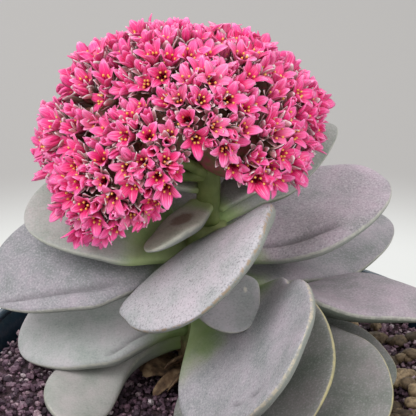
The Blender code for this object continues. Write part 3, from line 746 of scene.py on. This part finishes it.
def ball_points(count):
    """Even points on a unit sphere, along a golden spiral."""
    number = np.arange(count) + 0.5
    level = 1 - 2 * number / count
    turn = number * pi * (3 - sqrt(5))
    ring = np.sqrt(1 - level ** 2)
    return round_z(ring, turn, level)


def lobe_reach(ways):
    """How far the balls of flowers reach from the dome's heart along each way, and which does."""
    reach = []
    for cyme in CYMES.values():
        middle = np.array(cyme.middle) - DOME_HEART
        ahead = ways @ middle
        inside = ahead ** 2 - middle @ middle + cyme.radius ** 2
        reach.append(np.where(inside > 0, ahead + np.sqrt(np.maximum(inside, 0)), 0.0))
    return np.max(reach, axis=0), np.argmax(reach, axis=0)


def dome_reach(ways):
    """The balls' reach, with the valleys between them raised to VALLEY_DEPTH below their
    surroundings: max(reach, mean reach within VALLEY_ANGLE - VALLEY_DEPTH)."""
    around = ball_points(SURFACE_POINTS)
    near = (ways @ around.T > cos(radians(VALLEY_ANGLE))).astype(float)
    mean = near @ lobe_reach(around)[0] / near.sum(axis=1)
    return np.maximum(lobe_reach(ways)[0], mean - VALLEY_DEPTH)


def open_surface():
    """Places and facings of even points on the dome, clear of the gap where the stalk shows."""
    ways = ball_points(SURFACE_POINTS)
    places = DOME_HEART + ways * dome_reach(ways)[:, None]
    ball = unit(places - CYME_MIDDLES[lobe_reach(ways)[1]])
    facing = unit(0.6 * ball + 0.5 * ways)
    rise = radians(ELEVATION)
    lift = (places[:, 2] - TARGET[2]) * cos(rise) + (places[:, 1] - TARGET[1]) * sin(rise)
    foot = np.array(DOME_FOOT) * MM
    clear = lift > np.interp(places[:, 0], foot[:, 0], foot[:, 1])
    clear &= facing @ unit(STALK_FORK - DOME_HEART - np.array([0, 0, 0.02])) < FACING_STALK
    return places[clear], facing[clear]


def spaced(places, first, count):
    """The numbers of count points, each the farthest from those before it."""
    chosen = []
    nearest = first
    while len(chosen) < count:
        chosen.append(int(np.argmax(nearest)))
        nearest = np.minimum(nearest, np.linalg.norm(places - places[chosen[-1]], axis=1))
    return chosen


def floret_places():
    """Cluster number, place and facing of each open flower, and of each bud between them."""
    places, facing = open_surface()
    chosen = spaced(places, places[:, 2].copy(), FLORET_COUNT)
    for _ in range(EVENING_ROUNDS):
        group = np.linalg.norm(places[:, None] - places[chosen][None], axis=2).argmin(axis=1)
        for number in range(FLORET_COUNT):
            centre = places[group == number].mean(axis=0)
            chosen[number] = int(np.linalg.norm(places - centre, axis=1).argmin())
    chosen = sorted(set(chosen))
    nearest = np.linalg.norm(places[:, None] - places[chosen][None], axis=2).min(axis=1)
    buds = spaced(places, nearest, BUD_COUNT)
    gaps = np.linalg.norm(places[:, None] - CYME_MIDDLES[None], axis=2) - CYME_RADII
    owners = gaps.argmin(axis=1)
    return [(owners[picked], places[picked], facing[picked]) for picked in (chosen, buds)]


def axes_along(facing, spin):
    """Frames whose third axis is the facing, turned about it by spin."""
    aside = unit(np.cross(facing, [0.05, 0.02, 1.0]))
    ahead = np.cross(facing, aside)
    first = np.cos(spin)[:, None] * aside + np.sin(spin)[:, None] * ahead
    return np.stack([first, np.cross(facing, first), facing], axis=1)


# Blades of a flower: sizes in mm and angles in degrees
Blade = namedtuple("Blade", "length half foot_radius foot_height lean_in lean_out curl cup thick "
                            "point widest")
PETAL = Blade(7.2, 1.55, 0.80, 0.6, 4, 56, 1.5, 0.28, 0.38, 4.0, 0.62)
SEPAL = Blade(5.3, 1.20, 1.05, 0.0, 14, 32, 1.0, 0.22, 0.40, 4.2, 0.5)
CARPEL = Blade(3.0, 0.48, 0.32, 0.8, 6, 14, 1.0, 0.0, 0.62, 2.4, 0.3)
FILAMENT = Blade(4.0, 0.13, 0.70, 0.8, 8, 8, 1.0, 0.0, 0.22, 8.0, 0.3)


def whorl(blade, frames, roots, scale, opening, turn_offset, chance, stations, around):
    """Five blades about each flower's axis, as rings (flowers * 5, stations, around, 3).

    A blade's spine leans out from the axis by lean_in at its foot and by lean_out * opening
    at its tip, with the change going as share^curl. Its half width swells up to its widest
    share and falls to the tip as sqrt(1 - share^point). The section is cupped to the axis.
    """
    flowers = len(roots)
    share = np.linspace(0, 1, stations)
    number = np.arange(PETALS)
    swing = 2 * pi * number / PETALS + turn_offset + chance.normal(0, 0.06, (flowers, PETALS))
    reach = scale[:, None] * chance.normal(1, 0.07, (flowers, PETALS))
    lean_out = blade.lean_out * opening[:, None] + chance.normal(0, 9, (flowers, PETALS))
    lean = np.radians(blade.lean_in + (lean_out[..., None] - blade.lean_in) * share ** blade.curl)
    step = blade.length / (stations - 1)
    middle = (lean[..., 1:] + lean[..., :-1]) / 2
    away, up = [foot + np.pad(np.cumsum(pace, axis=-1), ((0, 0), (0, 0), (1, 0))) * step
                for foot, pace in ((blade.foot_radius, np.sin(middle)), (blade.foot_height, np.cos(middle)))]
    tip = np.sqrt(1 - np.clip(share, 0, 0.99) ** blade.point)
    width = blade.half * (0.42 + 0.58 * ease(0, blade.widest, share)) * tip
    angle = circle(around)
    across = np.cos(angle) * width[:, None]
    inward = blade.cup * np.cos(angle) ** 2 * width[:, None] \
        + blade.thick * (0.3 + 0.7 * width[:, None] / blade.half) \
        * np.where(np.sin(angle) > 0, 0.25, 0.75) * np.sin(angle)
    radial = away[..., None] - np.cos(lean)[..., None] * inward
    height = up[..., None] + np.sin(lean)[..., None] * inward
    turn = swing[..., None, None]
    local = np.stack([radial * np.cos(turn) - across * np.sin(turn),
                      radial * np.sin(turn) + across * np.cos(turn), height], axis=-1)
    local = local * (reach * MM)[..., None, None, None]
    world = np.einsum("fpsac,fcd->fpsad", local, frames) + roots[:, None, None, None]
    rings = world.reshape(flowers * PETALS, stations, around, 3)
    return rings, share[None, :, None], np.cos(angle)[None, None]


def beads(centres, ways, radius, length, stations=4, around=6):
    """Small ellipsoids with their long axis along a direction each."""
    level = np.linspace(-0.9, 0.9, stations)
    ring = np.sqrt(1 - level ** 2) * radius
    frames = axes_along(ways, np.zeros(len(ways)))
    local = round_z(ring[:, None], circle(around), level[:, None] * length)
    return np.einsum("sac,fcd->fsad", local, frames) + centres[:, None, None]


def pedicels(starts, ends, radius, around=5, stations=4):
    """Thin stalks that bow a little from a cluster's inside to the foot of each flower."""
    share = np.linspace(0, 1, stations)[None, :, None]
    bow = np.array([0, 0, -0.0012]) * (share * (1 - share) * 4)
    path = starts[:, None] * (1 - share) + ends[:, None] * share + bow
    frames = axes_along(unit(ends - starts), np.zeros(len(ends)))
    angle = circle(around)
    ring = np.cos(angle)[:, None] * frames[:, None, 0] + np.sin(angle)[:, None] * frames[:, None, 1]
    return path[:, :, None] + radius * ring[:, None]


def flower_values(tree):
    return [attribute(tree, label) for label in ("along", "across", "tone")]


def make_petal_material():
    """Deep pink at the foot and paler to the tip, with light and dark streaks and a vein."""
    material, tree = new_material("petal")
    along, across, tone = flower_values(tree)
    colour = ramp(along, (0.0, (190, 16, 84)), (0.30, (230, 24, 112)), (0.62, (246, 46, 138)),
                  (0.86, (250, 92, 170)), (1.0, (252, 146, 202)))
    deep = blend(1.0, colour, (248, 200, 222), "MULTIPLY")
    pale = blend(0.34, colour, (248, 176, 212))
    colour = blend(spread(tone, 0.0, 0.45, 0.8, 0.0), colour, deep)
    colour = blend(spread(tone, 0.6, 1.0), colour, pale)
    strip = add_node(tree, "CombineXYZ", [("X", across * 3.4), ("Y", scaled(tone, 60.0, along))])
    streak = add_node(tree, "TexNoise", [("Vector", strip), ("Scale", 1.6)], "Fac", noise_dimensions="2D")
    light = spread(streak, 0.52, 0.70, 0.0, 0.45) * spread(along, 0.25, 0.6)
    colour = blend(light, colour, (250, 190, 220))
    colour = blend(spread(streak, 0.46, 0.32, 0.0, 0.45), colour, (222, 18, 104))
    colour = blend(spread(abs(across), 0.22, 0.0) * 0.22, colour, (206, 28, 108))
    return dress(material, colour, 0.42, noise(tree, 2600), 0.12, 0.00012, [("Sheen Weight", 0.15)])


def make_sepal_material():
    """Olive at the foot and dull pink to the tip, with pale specks and a pale edge."""
    material, tree = new_material("sepal")
    along, across, tone = flower_values(tree)
    colour = ramp(along, (0.0, (132, 132, 92)), (0.45, (184, 132, 124)), (0.8, (208, 136, 156)),
                  (1.0, (222, 180, 192)))
    colour = blend(spread(tone, 0.3, 0.8, 0.0, 0.4), colour, (176, 160, 144))
    colour = blend(spread(noise(tree, 3200), 0.45, 0.7, 0.0, 0.5), colour, (205, 190, 190))
    edge = maths("MAXIMUM", spread(abs(across), 0.66, 0.98), spread(along, 0.86, 1.0))
    colour = blend(edge * spread(along, 0.2, 0.5, 0.0, 0.92), colour, (240, 228, 230))
    return dress(material, colour, 0.7, noise(tree, 3200), 0.3, 0.00015)


def lumpy_ball(middle, radius, seed, stations=18, around=28):
    """A ball closed at its poles, with low lumps: radius * (1 + 0.06 * waves)."""
    way = sphere_ways(stations, around, 0.06)
    rough = 1 + 0.06 * waves(way * radius, 0.005, seed)
    return (np.array(middle) + way * (radius * rough)[..., None])[None]


def add_flowers(skin, cyme, places, facing, chance, opening, scale, depth, tone):
    """Flowers or buds at places on the dome: whorls of petals and sepals, and their stalks."""
    middle = np.array(cyme.middle)
    count = len(places)
    facing = unit(facing + chance.normal(0, 0.14, (count, 3)))
    roots = places - facing * depth[:, None] * MM
    frames = axes_along(facing, chance.uniform(0, 2 * pi, count))
    hue = np.repeat(tone, PETALS)[:, None, None]
    petals, along, across = whorl(PETAL, frames, roots, scale, opening, 0.0, chance, 7, 6)
    skin.add(petals, PETAL_LOOK, along=along, across=across, tone=hue)
    sepals, along, across = whorl(SEPAL, frames, roots, scale, np.full(count, 1.0), pi / PETALS,
                                  chance, 5, 6)
    skin.add(sepals, SEPAL_LOOK, along=along, across=across, tone=hue)
    starts = middle + unit(roots - middle) * 0.35 * cyme.radius
    skin.add(pedicels(starts, roots + facing * MM * 0.6, 0.0006), STALK_LOOK)
    return frames, roots, facing


def make_cyme(number, name, open_ones, buds, materials):
    """One cluster: open flowers on its ball, buds between them and a dark leafy heart."""
    cyme = CYMES[name]
    chance = np.random.default_rng(SEED + number)
    skin = Skin()
    skin.add(lumpy_ball(cyme.middle, cyme.radius - HEART_DEPTH, number), STALK_LOOK)
    count = len(open_ones[0])
    opening = np.clip(chance.normal(0.95, 0.30, count), 0.2, 1.5)
    scale = chance.normal(1.0, 0.06, count)
    depth = chance.normal(8.0, 0.60, count)
    frames, roots, facing = add_flowers(skin, cyme, *open_ones, chance, opening, scale, depth,
                                        chance.uniform(0, 1, count))
    level = np.ones(count)
    filaments, along, across = whorl(FILAMENT, frames, roots, scale, level, pi / PETALS, chance, 4, 4)
    skin.add(filaments, CARPEL_LOOK, along=along, across=across)
    tips = filaments[:, -1].mean(axis=1)
    skin.add(beads(tips, np.repeat(facing, PETALS, axis=0), 0.00034, 0.00046), ANTHER_LOOK)
    carpels, along, across = whorl(CARPEL, frames, roots, scale, level, 0.0, chance, 5, 6)
    skin.add(carpels, CARPEL_LOOK, along=along, across=across)
    if len(buds[0]):
        count = len(buds[0])
        add_flowers(skin, cyme, *buds, chance, chance.normal(-0.12, 0.14, count),
                    chance.normal(0.76, 0.07, count), chance.normal(6.9, 0.6, count),
                    chance.uniform(0, 0.8, count))
    piece = skin.build(name.replace("cyme", "flowers"), materials)
    finish_piece(piece, "flower", name)


def make_dome_heart(material):
    """The dark mass of stalks inside the dome: its reach less HEART_DEPTH, hollowed out
    towards the gap in front, where the stalk shows."""
    ways = sphere_ways(40, 64, 0.05)
    reach = dome_reach(ways.reshape(-1, 3)).reshape(ways.shape[:2]) - HEART_DEPTH
    gap = unit(np.array(STALK_GAP) - DOME_HEART)
    away = np.degrees(np.arccos(np.clip(ways @ gap, -1, 1)))
    reach = reach - 0.022 * np.exp(-(away / 38) ** 2) - 0.010 * ease(-0.2, -0.8, ways[..., 2])
    reach = np.maximum(reach, 0.004) * (1 + 0.05 * waves(ways, 0.35, 5))
    make_piece("dome_heart", [(DOME_HEART + ways * reach[..., None])[None]], material, "flower_stalk")


# Stalk and stem


def make_stalk(material):
    """A foot above the stem, then a curved branch to each cluster, thinner towards its end."""
    share = np.linspace(0, 1, 12)[:, None]
    foot = STALK_FOOT * (1 - share) + STALK_FORK * share
    tubes = [tube_rings(foot, STALK_RADIUS * (1 - 0.08 * share[:, 0]), 20)]
    for cyme in CYMES.values():
        end = np.array(cyme.middle)
        bend = STALK_FORK * 0.5 + end * 0.5 + np.array([0, 0, 0.0010])
        start = STALK_FORK - np.array([0, 0, 0.003])
        path = start * (1 - share) ** 2 + 2 * bend * share * (1 - share) + end * share ** 2
        tubes.append(tube_rings(path, BRANCH_RADIUS * (1.35 - 0.45 * share[:, 0]), 10))
    make_piece("green_stalk", tubes, material, "flower_stalk", "flower_stalk")


def make_stem(material):
    """A tapering stem with a ring at each pair of old leaf scars."""
    height = np.linspace(STEM_FOOT[2], STEM_TOP[2], 90)
    path = np.array([stem_middle(z) for z in height])
    scars = SCAR_RISE * np.maximum(0, np.sin(height * SCARS_PER_RADIAN)) ** 3
    rings = tube_rings(path, np.array([stem_radius(z) for z in height]) + scars, 40)
    centre = path[None, :, None]
    rough = 1 + 0.02 * waves(rings, 0.006, 3) + 0.012 * waves(rings, 0.002, 4)
    make_piece("ringed_stem", [centre + (rings - centre) * rough[..., None]], material, "stem", "stem")


def make_dry_leaves(material):
    """Curled, dry stubs of old leaves round the stem's foot."""
    chance = np.random.default_rng(SEED + 2)
    stubs = []
    for number in range(DRY_LEAVES):
        share = number / (DRY_LEAVES - 1)
        stub = Leaf(0.0878 + 0.0050 * chance.uniform(), 150 + 150 * share + chance.uniform(-12, 12),
                    (chance.uniform(15, 50), chance.uniform(-50, 0)), (0, chance.uniform(-50, 50)),
                    chance.uniform(0.010, 0.017), chance.uniform(0.0020, 0.0036), 0.0012,
                    chance.uniform(-40, 40), 0.7)
        rings = leaf_rings(stub, 16, 16)[0]
        stubs.append((rings + 0.0003 * waves(rings, 0.004, number)[..., None])[None])
    make_piece("dry_leaf_bases", stubs, material, "stem")


def make_stem_material():
    """Green stem that turns to brown bark below BARK_TOP."""
    material, tree = new_material("stem_bark")
    colour = ramp(noise(tree, 260, 4.0), (0.3, (104, 120, 66)), (0.7, (150, 158, 104)))
    bark = ramp(noise(tree, 900, 4.0), (0.3, (92, 74, 54)), (0.7, (158, 136, 104)))
    dry = scaled(noise(tree, 220, 3.0), 0.014, height_above(tree))
    colour = blend(spread(dry, BARK_TOP + 0.012, BARK_TOP), colour, bark)
    return dress(material, colour, 0.6, noise(tree, 1500, 3.0), 0.4, 0.0003)


# Pot and soil


def outer_radius(height):
    return BASE_RADIUS + (RIM_RADIUS - RIM_BEAD / 2 - BASE_RADIUS) * height / (POT_HEIGHT - 2 * RIM_BEAD)


def inner_radius(height):
    return outer_radius(height) - WALL


def arc(middle, radius, start, end, count):
    turn = np.radians(np.linspace(start, end, count))
    return [(middle[0] + radius * cos(a), middle[1] + radius * sin(a)) for a in turn]


def straight(function, start, end, count):
    return [(function(z), z) for z in np.linspace(start, end, count)]


def make_pot(material):
    """The pot's wall and floor as one turned shell, from the inside of the base over the rim."""
    crest = POT_HEIGHT - RIM_BEAD
    neck = crest - 2 * RIM_BEAD
    low = FLOOR + BASE_CHAMFER
    profile = [(0.0002, FLOOR)] + [(r, FLOOR) for r in np.linspace(0.004, inner_radius(FLOOR) - 0.002, 9)]
    profile += arc((inner_radius(low) - BASE_CHAMFER, low), BASE_CHAMFER, -90, 0, 5)
    profile += straight(inner_radius, low + 0.003, neck, 24)
    profile += arc((RIM_RADIUS - RIM_BEAD, crest), RIM_BEAD, 205, -25, 15)
    profile += straight(outer_radius, neck, BASE_CHAMFER + 0.001, 30)
    profile += arc((BASE_RADIUS - BASE_CHAMFER, BASE_CHAMFER), BASE_CHAMFER, 0, -90, 6)
    profile += [(r, 0) for r in np.linspace(BASE_RADIUS - 0.004, 0.004, 9)] + [(0.0002, 0)]
    skin = Skin()
    skin.add(turned_rings(profile, 144))
    pot = skin.build("navy_pot", [material])
    for hole in range(DRAIN_HOLES):
        turn = radians(30 + 360 * hole / DRAIN_HOLES)
        drill = Skin()
        place = np.array([DRAIN_CIRCLE * cos(turn), DRAIN_CIRCLE * sin(turn), 0])
        drill.add(turned_rings([(DRAIN_RADIUS, -FLOOR), (DRAIN_RADIUS, 2 * FLOOR)], 32) + place)
        cutter = drill.build("drill", [])
        cut = pot.modifiers.new("drain", "BOOLEAN")
        cut.operation = "DIFFERENCE"
        cut.object = cutter
        settle(pot)
        bpy.data.objects.remove(cutter)
    pot.data.set_sharp_from_angle(angle=radians(40))
    finish_piece(pot, "pot", "pot")


def settle(piece):
    """Applies the piece's modifiers to its mesh."""
    bpy.context.view_layer.update()
    seen = piece.evaluated_get(bpy.context.evaluated_depsgraph_get())
    mesh = bpy.data.meshes.new_from_object(seen)
    piece.modifiers.clear()
    piece.data = mesh


def make_pot_material():
    """Satin navy plastic with a faint orange peel, dust near the rim and scuffs at the foot."""
    material, tree = new_material("navy_plastic")
    height = height_above(tree)
    colour = ramp(noise(tree, 60, 4.0), (0.3, (12, 42, 58)), (0.7, (24, 56, 76)))
    dust = spread(noise(tree, 900, 4.0, 0.7), 0.5, 0.72) * spread(height, 0.055, 0.099, 0.03, 0.16)
    scuff = spread(noise(tree, 1400, 3.0, 0.8), 0.56, 0.66) * spread(height, 0.006, 0.001, 0.0, 0.5)
    colour = blend(scuff, blend(dust, colour, (150, 150, 146)), (120, 134, 142))
    return dress(material, colour, scaled(dust, 0.9, 0.36), noise(tree, 700, 3.0), 0.12, 0.0004)


def leaf_shadow():
    """A grid of the lowest leaf height over each cell of the soil, widened by two cells."""
    cells_across = int(2 * HEAP_HALF / HEAP_CELL)
    lowest = np.full((cells_across, cells_across), 1.0)
    for leaf in LEAVES.values():
        rings = leaf_rings(leaf, 64, 40)[0].reshape(-1, 3)
        column, row = ((rings[:, :2] + HEAP_HALF) / HEAP_CELL).astype(int).T.clip(0, cells_across - 1)
        np.minimum.at(lowest, (column, row), rings[:, 2])
    for _ in range(2):
        for axis in (0, 1):
            lowest = np.minimum(lowest, np.minimum(np.roll(lowest, 1, axis), np.roll(lowest, -1, axis)))
    return lowest


def heap_height(places, lowest):
    """The gravel's height: heaped towards the wall, but clear of leaves."""
    ring = np.hypot(places[..., 0], places[..., 1])
    heap = HEAP_RISE * ease(0.030, 0.062, ring) + 0.0012 * waves(places * np.array([1, 1, 0]), 0.024, 21)
    spot = ((places[..., :2] + HEAP_HALF) / HEAP_CELL).astype(int).clip(0, len(lowest) - 1)
    room = lowest[spot[..., 0], spot[..., 1]] - SOIL_LEVEL - LEAF_CLEARANCE
    return SOIL_LEVEL + np.clip(heap, 0, np.maximum(room, 0))


def make_soil(material, lowest):
    """The bed under the gravel: a turned plug whose top follows the heap, with small waves."""
    bottom = FLOOR + GAP
    edge = inner_radius(SOIL_LEVEL) - GAP
    low = bottom + 2 * BASE_CHAMFER
    foot = inner_radius(low) - GAP
    profile = [(0.0002, bottom)] + [(r, bottom) for r in np.linspace(0.004, foot - 2 * BASE_CHAMFER, 10)]
    profile += [(foot, low)] + [(inner_radius(z) - GAP, z) for z in np.linspace(low + 0.004, SOIL_LEVEL, 10)]
    profile += [(r, SOIL_LEVEL) for r in np.linspace(edge - 0.0008, 0.0004, 60)]
    rings = turned_rings(profile, 120)
    top = (rings[..., 2] > SOIL_LEVEL - 1e-6) & (np.hypot(rings[..., 0], rings[..., 1]) < edge - 0.0004)
    relief = 0.0002 * waves(rings, 0.014, 11) + 0.0002 * waves(rings, 0.004, 12) - 0.0010
    rings[..., 2] += np.where(top, relief + heap_height(rings, lowest) - SOIL_LEVEL, 0)
    make_piece("soil_bed", [rings], material, "soil", "soil")


def make_stones(name, places, sizes, chance, tone, material):
    """Angular stones: twelve-cornered solids with each corner pushed in or out."""
    golden = (1 + sqrt(5)) / 2
    corners = unit(np.array([(-1, golden, 0), (1, golden, 0), (-1, -golden, 0), (1, -golden, 0),
                             (0, -1, golden), (0, 1, golden), (0, -1, -golden), (0, 1, -golden),
                             (golden, 0, -1), (golden, 0, 1), (-golden, 0, -1), (-golden, 0, 1)], float))
    faces = np.array([(0, 11, 5), (0, 5, 1), (0, 1, 7), (0, 7, 10), (0, 10, 11), (1, 5, 9), (5, 11, 4),
                      (11, 10, 2), (10, 7, 6), (7, 1, 8), (3, 9, 4), (3, 4, 2), (3, 2, 6), (3, 6, 8),
                      (3, 8, 9), (4, 9, 5), (2, 4, 11), (6, 2, 10), (8, 6, 7), (9, 8, 1)])
    count = len(places)
    shape = corners[None] * chance.uniform(0.72, 1.15, (count, 12, 1))
    shape = shape * np.stack([chance.uniform(0.8, 1.3, count), chance.uniform(0.7, 1.1, count),
                              np.full(count, STONE_FLATNESS)], axis=1)[:, None]
    spin = chance.normal(size=(count, 3, 3)) * 0.35 + np.eye(3)
    turn = chance.uniform(0, 2 * pi, count)
    swing = np.zeros((count, 3, 3))
    swing[:, 0, 0], swing[:, 0, 1] = np.cos(turn), np.sin(turn)
    swing[:, 1, 0], swing[:, 1, 1] = -np.sin(turn), np.cos(turn)
    swing[:, 2, 2] = 1
    frames = np.linalg.qr(np.einsum("nij,njk->nik", spin, swing))[0]
    frames *= np.sign(np.linalg.det(frames))[:, None, None]
    points = np.einsum("nvc,ncd->nvd", shape * sizes[:, None, None], frames) + places[:, None]
    index = (12 * np.arange(count))[:, None, None] + faces[None]
    mesh = bpy.data.meshes.new(name)
    mesh.from_pydata(points.reshape(-1, 3).tolist(), [], index.reshape(-1, 3).tolist())
    add_values(mesh, "tone", np.repeat(tone, 12))
    mesh.materials.append(material)
    return place_object(name, mesh)


def make_gravel(material, lowest):
    """Grains strewn evenly in a golden spiral with jitter, two thirds of them small."""
    chance = np.random.default_rng(SEED)
    number = np.arange(GRAINS)
    ring = np.sqrt((number + 0.5) / GRAINS) * (inner_radius(SOIL_LEVEL) - 0.0007)
    turn = number * pi * (3 - sqrt(5))
    places = round_z(ring, turn, 0)
    places[:, :2] += chance.normal(0, 0.0005, (GRAINS, 2))
    sizes = np.clip(chance.lognormal(np.log(0.00078), 0.32, GRAINS), 0.0004, 0.0018)
    stem = stem_middle(SOIL_LEVEL)
    keep = np.hypot(places[:, 0] - stem[0], places[:, 1] - stem[1]) > stem_radius(SOIL_LEVEL) + sizes
    keep &= np.hypot(places[:, 0], places[:, 1]) + sizes < inner_radius(SOIL_LEVEL) + 0.0003
    height = heap_height(places, lowest)
    places[:, 2] = height + 0.25 * sizes + chance.uniform(-0.0005, 0.0006, GRAINS)
    tone = chance.uniform(0, 1, GRAINS)
    finish_piece(make_stones("gravel", places[keep], sizes[keep], chance, tone[keep], material), "soil")


def make_pebbles(material, lowest):
    """Brown lumps that lie on the gravel at the pot's right."""
    chance = np.random.default_rng(SEED + 1)
    turn = np.radians(chance.uniform(*PEBBLE_ARC, PEBBLES))
    ring = np.sqrt(chance.uniform(PEBBLE_RING[0] ** 2, PEBBLE_RING[1] ** 2, PEBBLES))
    sizes = chance.uniform(0.0013, 0.0028, PEBBLES)
    places = round_z(ring, turn, 0)
    places[:, 2] = heap_height(places, lowest) + 0.35 * sizes
    middle = np.zeros(3)
    skin = Skin()
    for number, (place, size) in enumerate(zip(places, sizes)):
        ball = lumpy_ball(middle, 1.0, 40 + number, 9, 14)
        stretch = np.array([chance.uniform(0.85, 1.25), chance.uniform(0.8, 1.1), 0.75])
        lumps = 1 + 0.13 * waves(ball, 1.6, 90 + number)
        skin.add(ball * lumps[..., None] * stretch * size + place, tone=chance.uniform(0, 1))
    finish_piece(skin.build("pebbles", [material]), "soil")


# Stage


def make_stage():
    """A pale floor that turns to warm grey away from the pot, soft lights and the camera."""
    mesh = bpy.data.meshes.new("floor")
    corners = [(-FLOOR_REACH, -FLOOR_REACH, 0), (FLOOR_REACH, -FLOOR_REACH, 0),
               (FLOOR_REACH, FLOOR_REACH, 0), (-FLOOR_REACH, FLOOR_REACH, 0)]
    mesh.from_pydata(corners, [], [(0, 1, 2, 3)])
    floor = place_object("floor", mesh)
    material, tree = new_material("pale_floor")
    away = add_node(tree, "VectorMath", [(0, spot(tree))], "Value", operation="LENGTH")
    dress(material, blend(spread(away, 0.28, 0.38), (206, 207, 206), (163, 161, 160)), 0.9,
          plain=[("Specular IOR Level", 0.1)])
    mesh.materials.append(material)

    world = bpy.context.scene.world or bpy.data.worlds.new("studio")
    bpy.context.scene.world = world
    world.use_nodes = True
    back = world.node_tree.nodes["Background"]
    back.inputs["Color"].default_value = srgb(236, 236, 234)
    back.inputs["Strength"].default_value = 0.94
    for name, place, width, power in LIGHTS:
        light = bpy.data.lights.new(name, "AREA")
        light.size = width
        light.energy = power
        lamp = place_object(name, light)
        lamp.location = place
        aim = Vector((0, 0, LIGHT_AIM)) - lamp.location
        lamp.rotation_euler = aim.to_track_quat("-Z", "Y").to_euler()

    lens = bpy.data.cameras.new("camera")
    lens.lens = LENS
    lens.clip_start = 0.01
    camera = place_object("camera", lens)
    rise = radians(ELEVATION)
    camera.location = TARGET + DISTANCE * np.array([0, -cos(rise), sin(rise)])
    camera.rotation_euler = (Vector(TARGET) - camera.location).to_track_quat("-Z", "Y").to_euler()
    bpy.context.scene.camera = camera
    bpy.context.scene.view_settings.view_transform = "Standard"


def main():
    make_stage()
    make_pot(make_pot_material())
    lowest = leaf_shadow()
    make_soil(plain_material("dark_soil"), lowest)
    make_gravel(plain_material("purple_grit"), lowest)
    make_pebbles(plain_material("brown_pebble"), lowest)
    make_dry_leaves(plain_material("dry_leaf"))
    make_stem(make_stem_material())
    make_stalk(plain_material("stalk_green"))
    groups = {name: make_group(name) for name in GROUPS}
    for number, (name, leaf) in enumerate(LEAVES.items()):
        make_leaf(name, leaf, number, make_leaf_material(name, FINISHES.get(name, PLAIN_FINISH), groups))
    materials = [make_petal_material(), make_sepal_material()]
    materials += [plain_material(name) for name in ("anther", "carpel", "pedicel")]
    make_dome_heart(materials[STALK_LOOK])
    places = floret_places()
    for number, name in enumerate(CYMES):
        own = [(where[owner == number], facing[owner == number]) for owner, where, facing in places]
        make_cyme(number, name, *own, materials)


main()
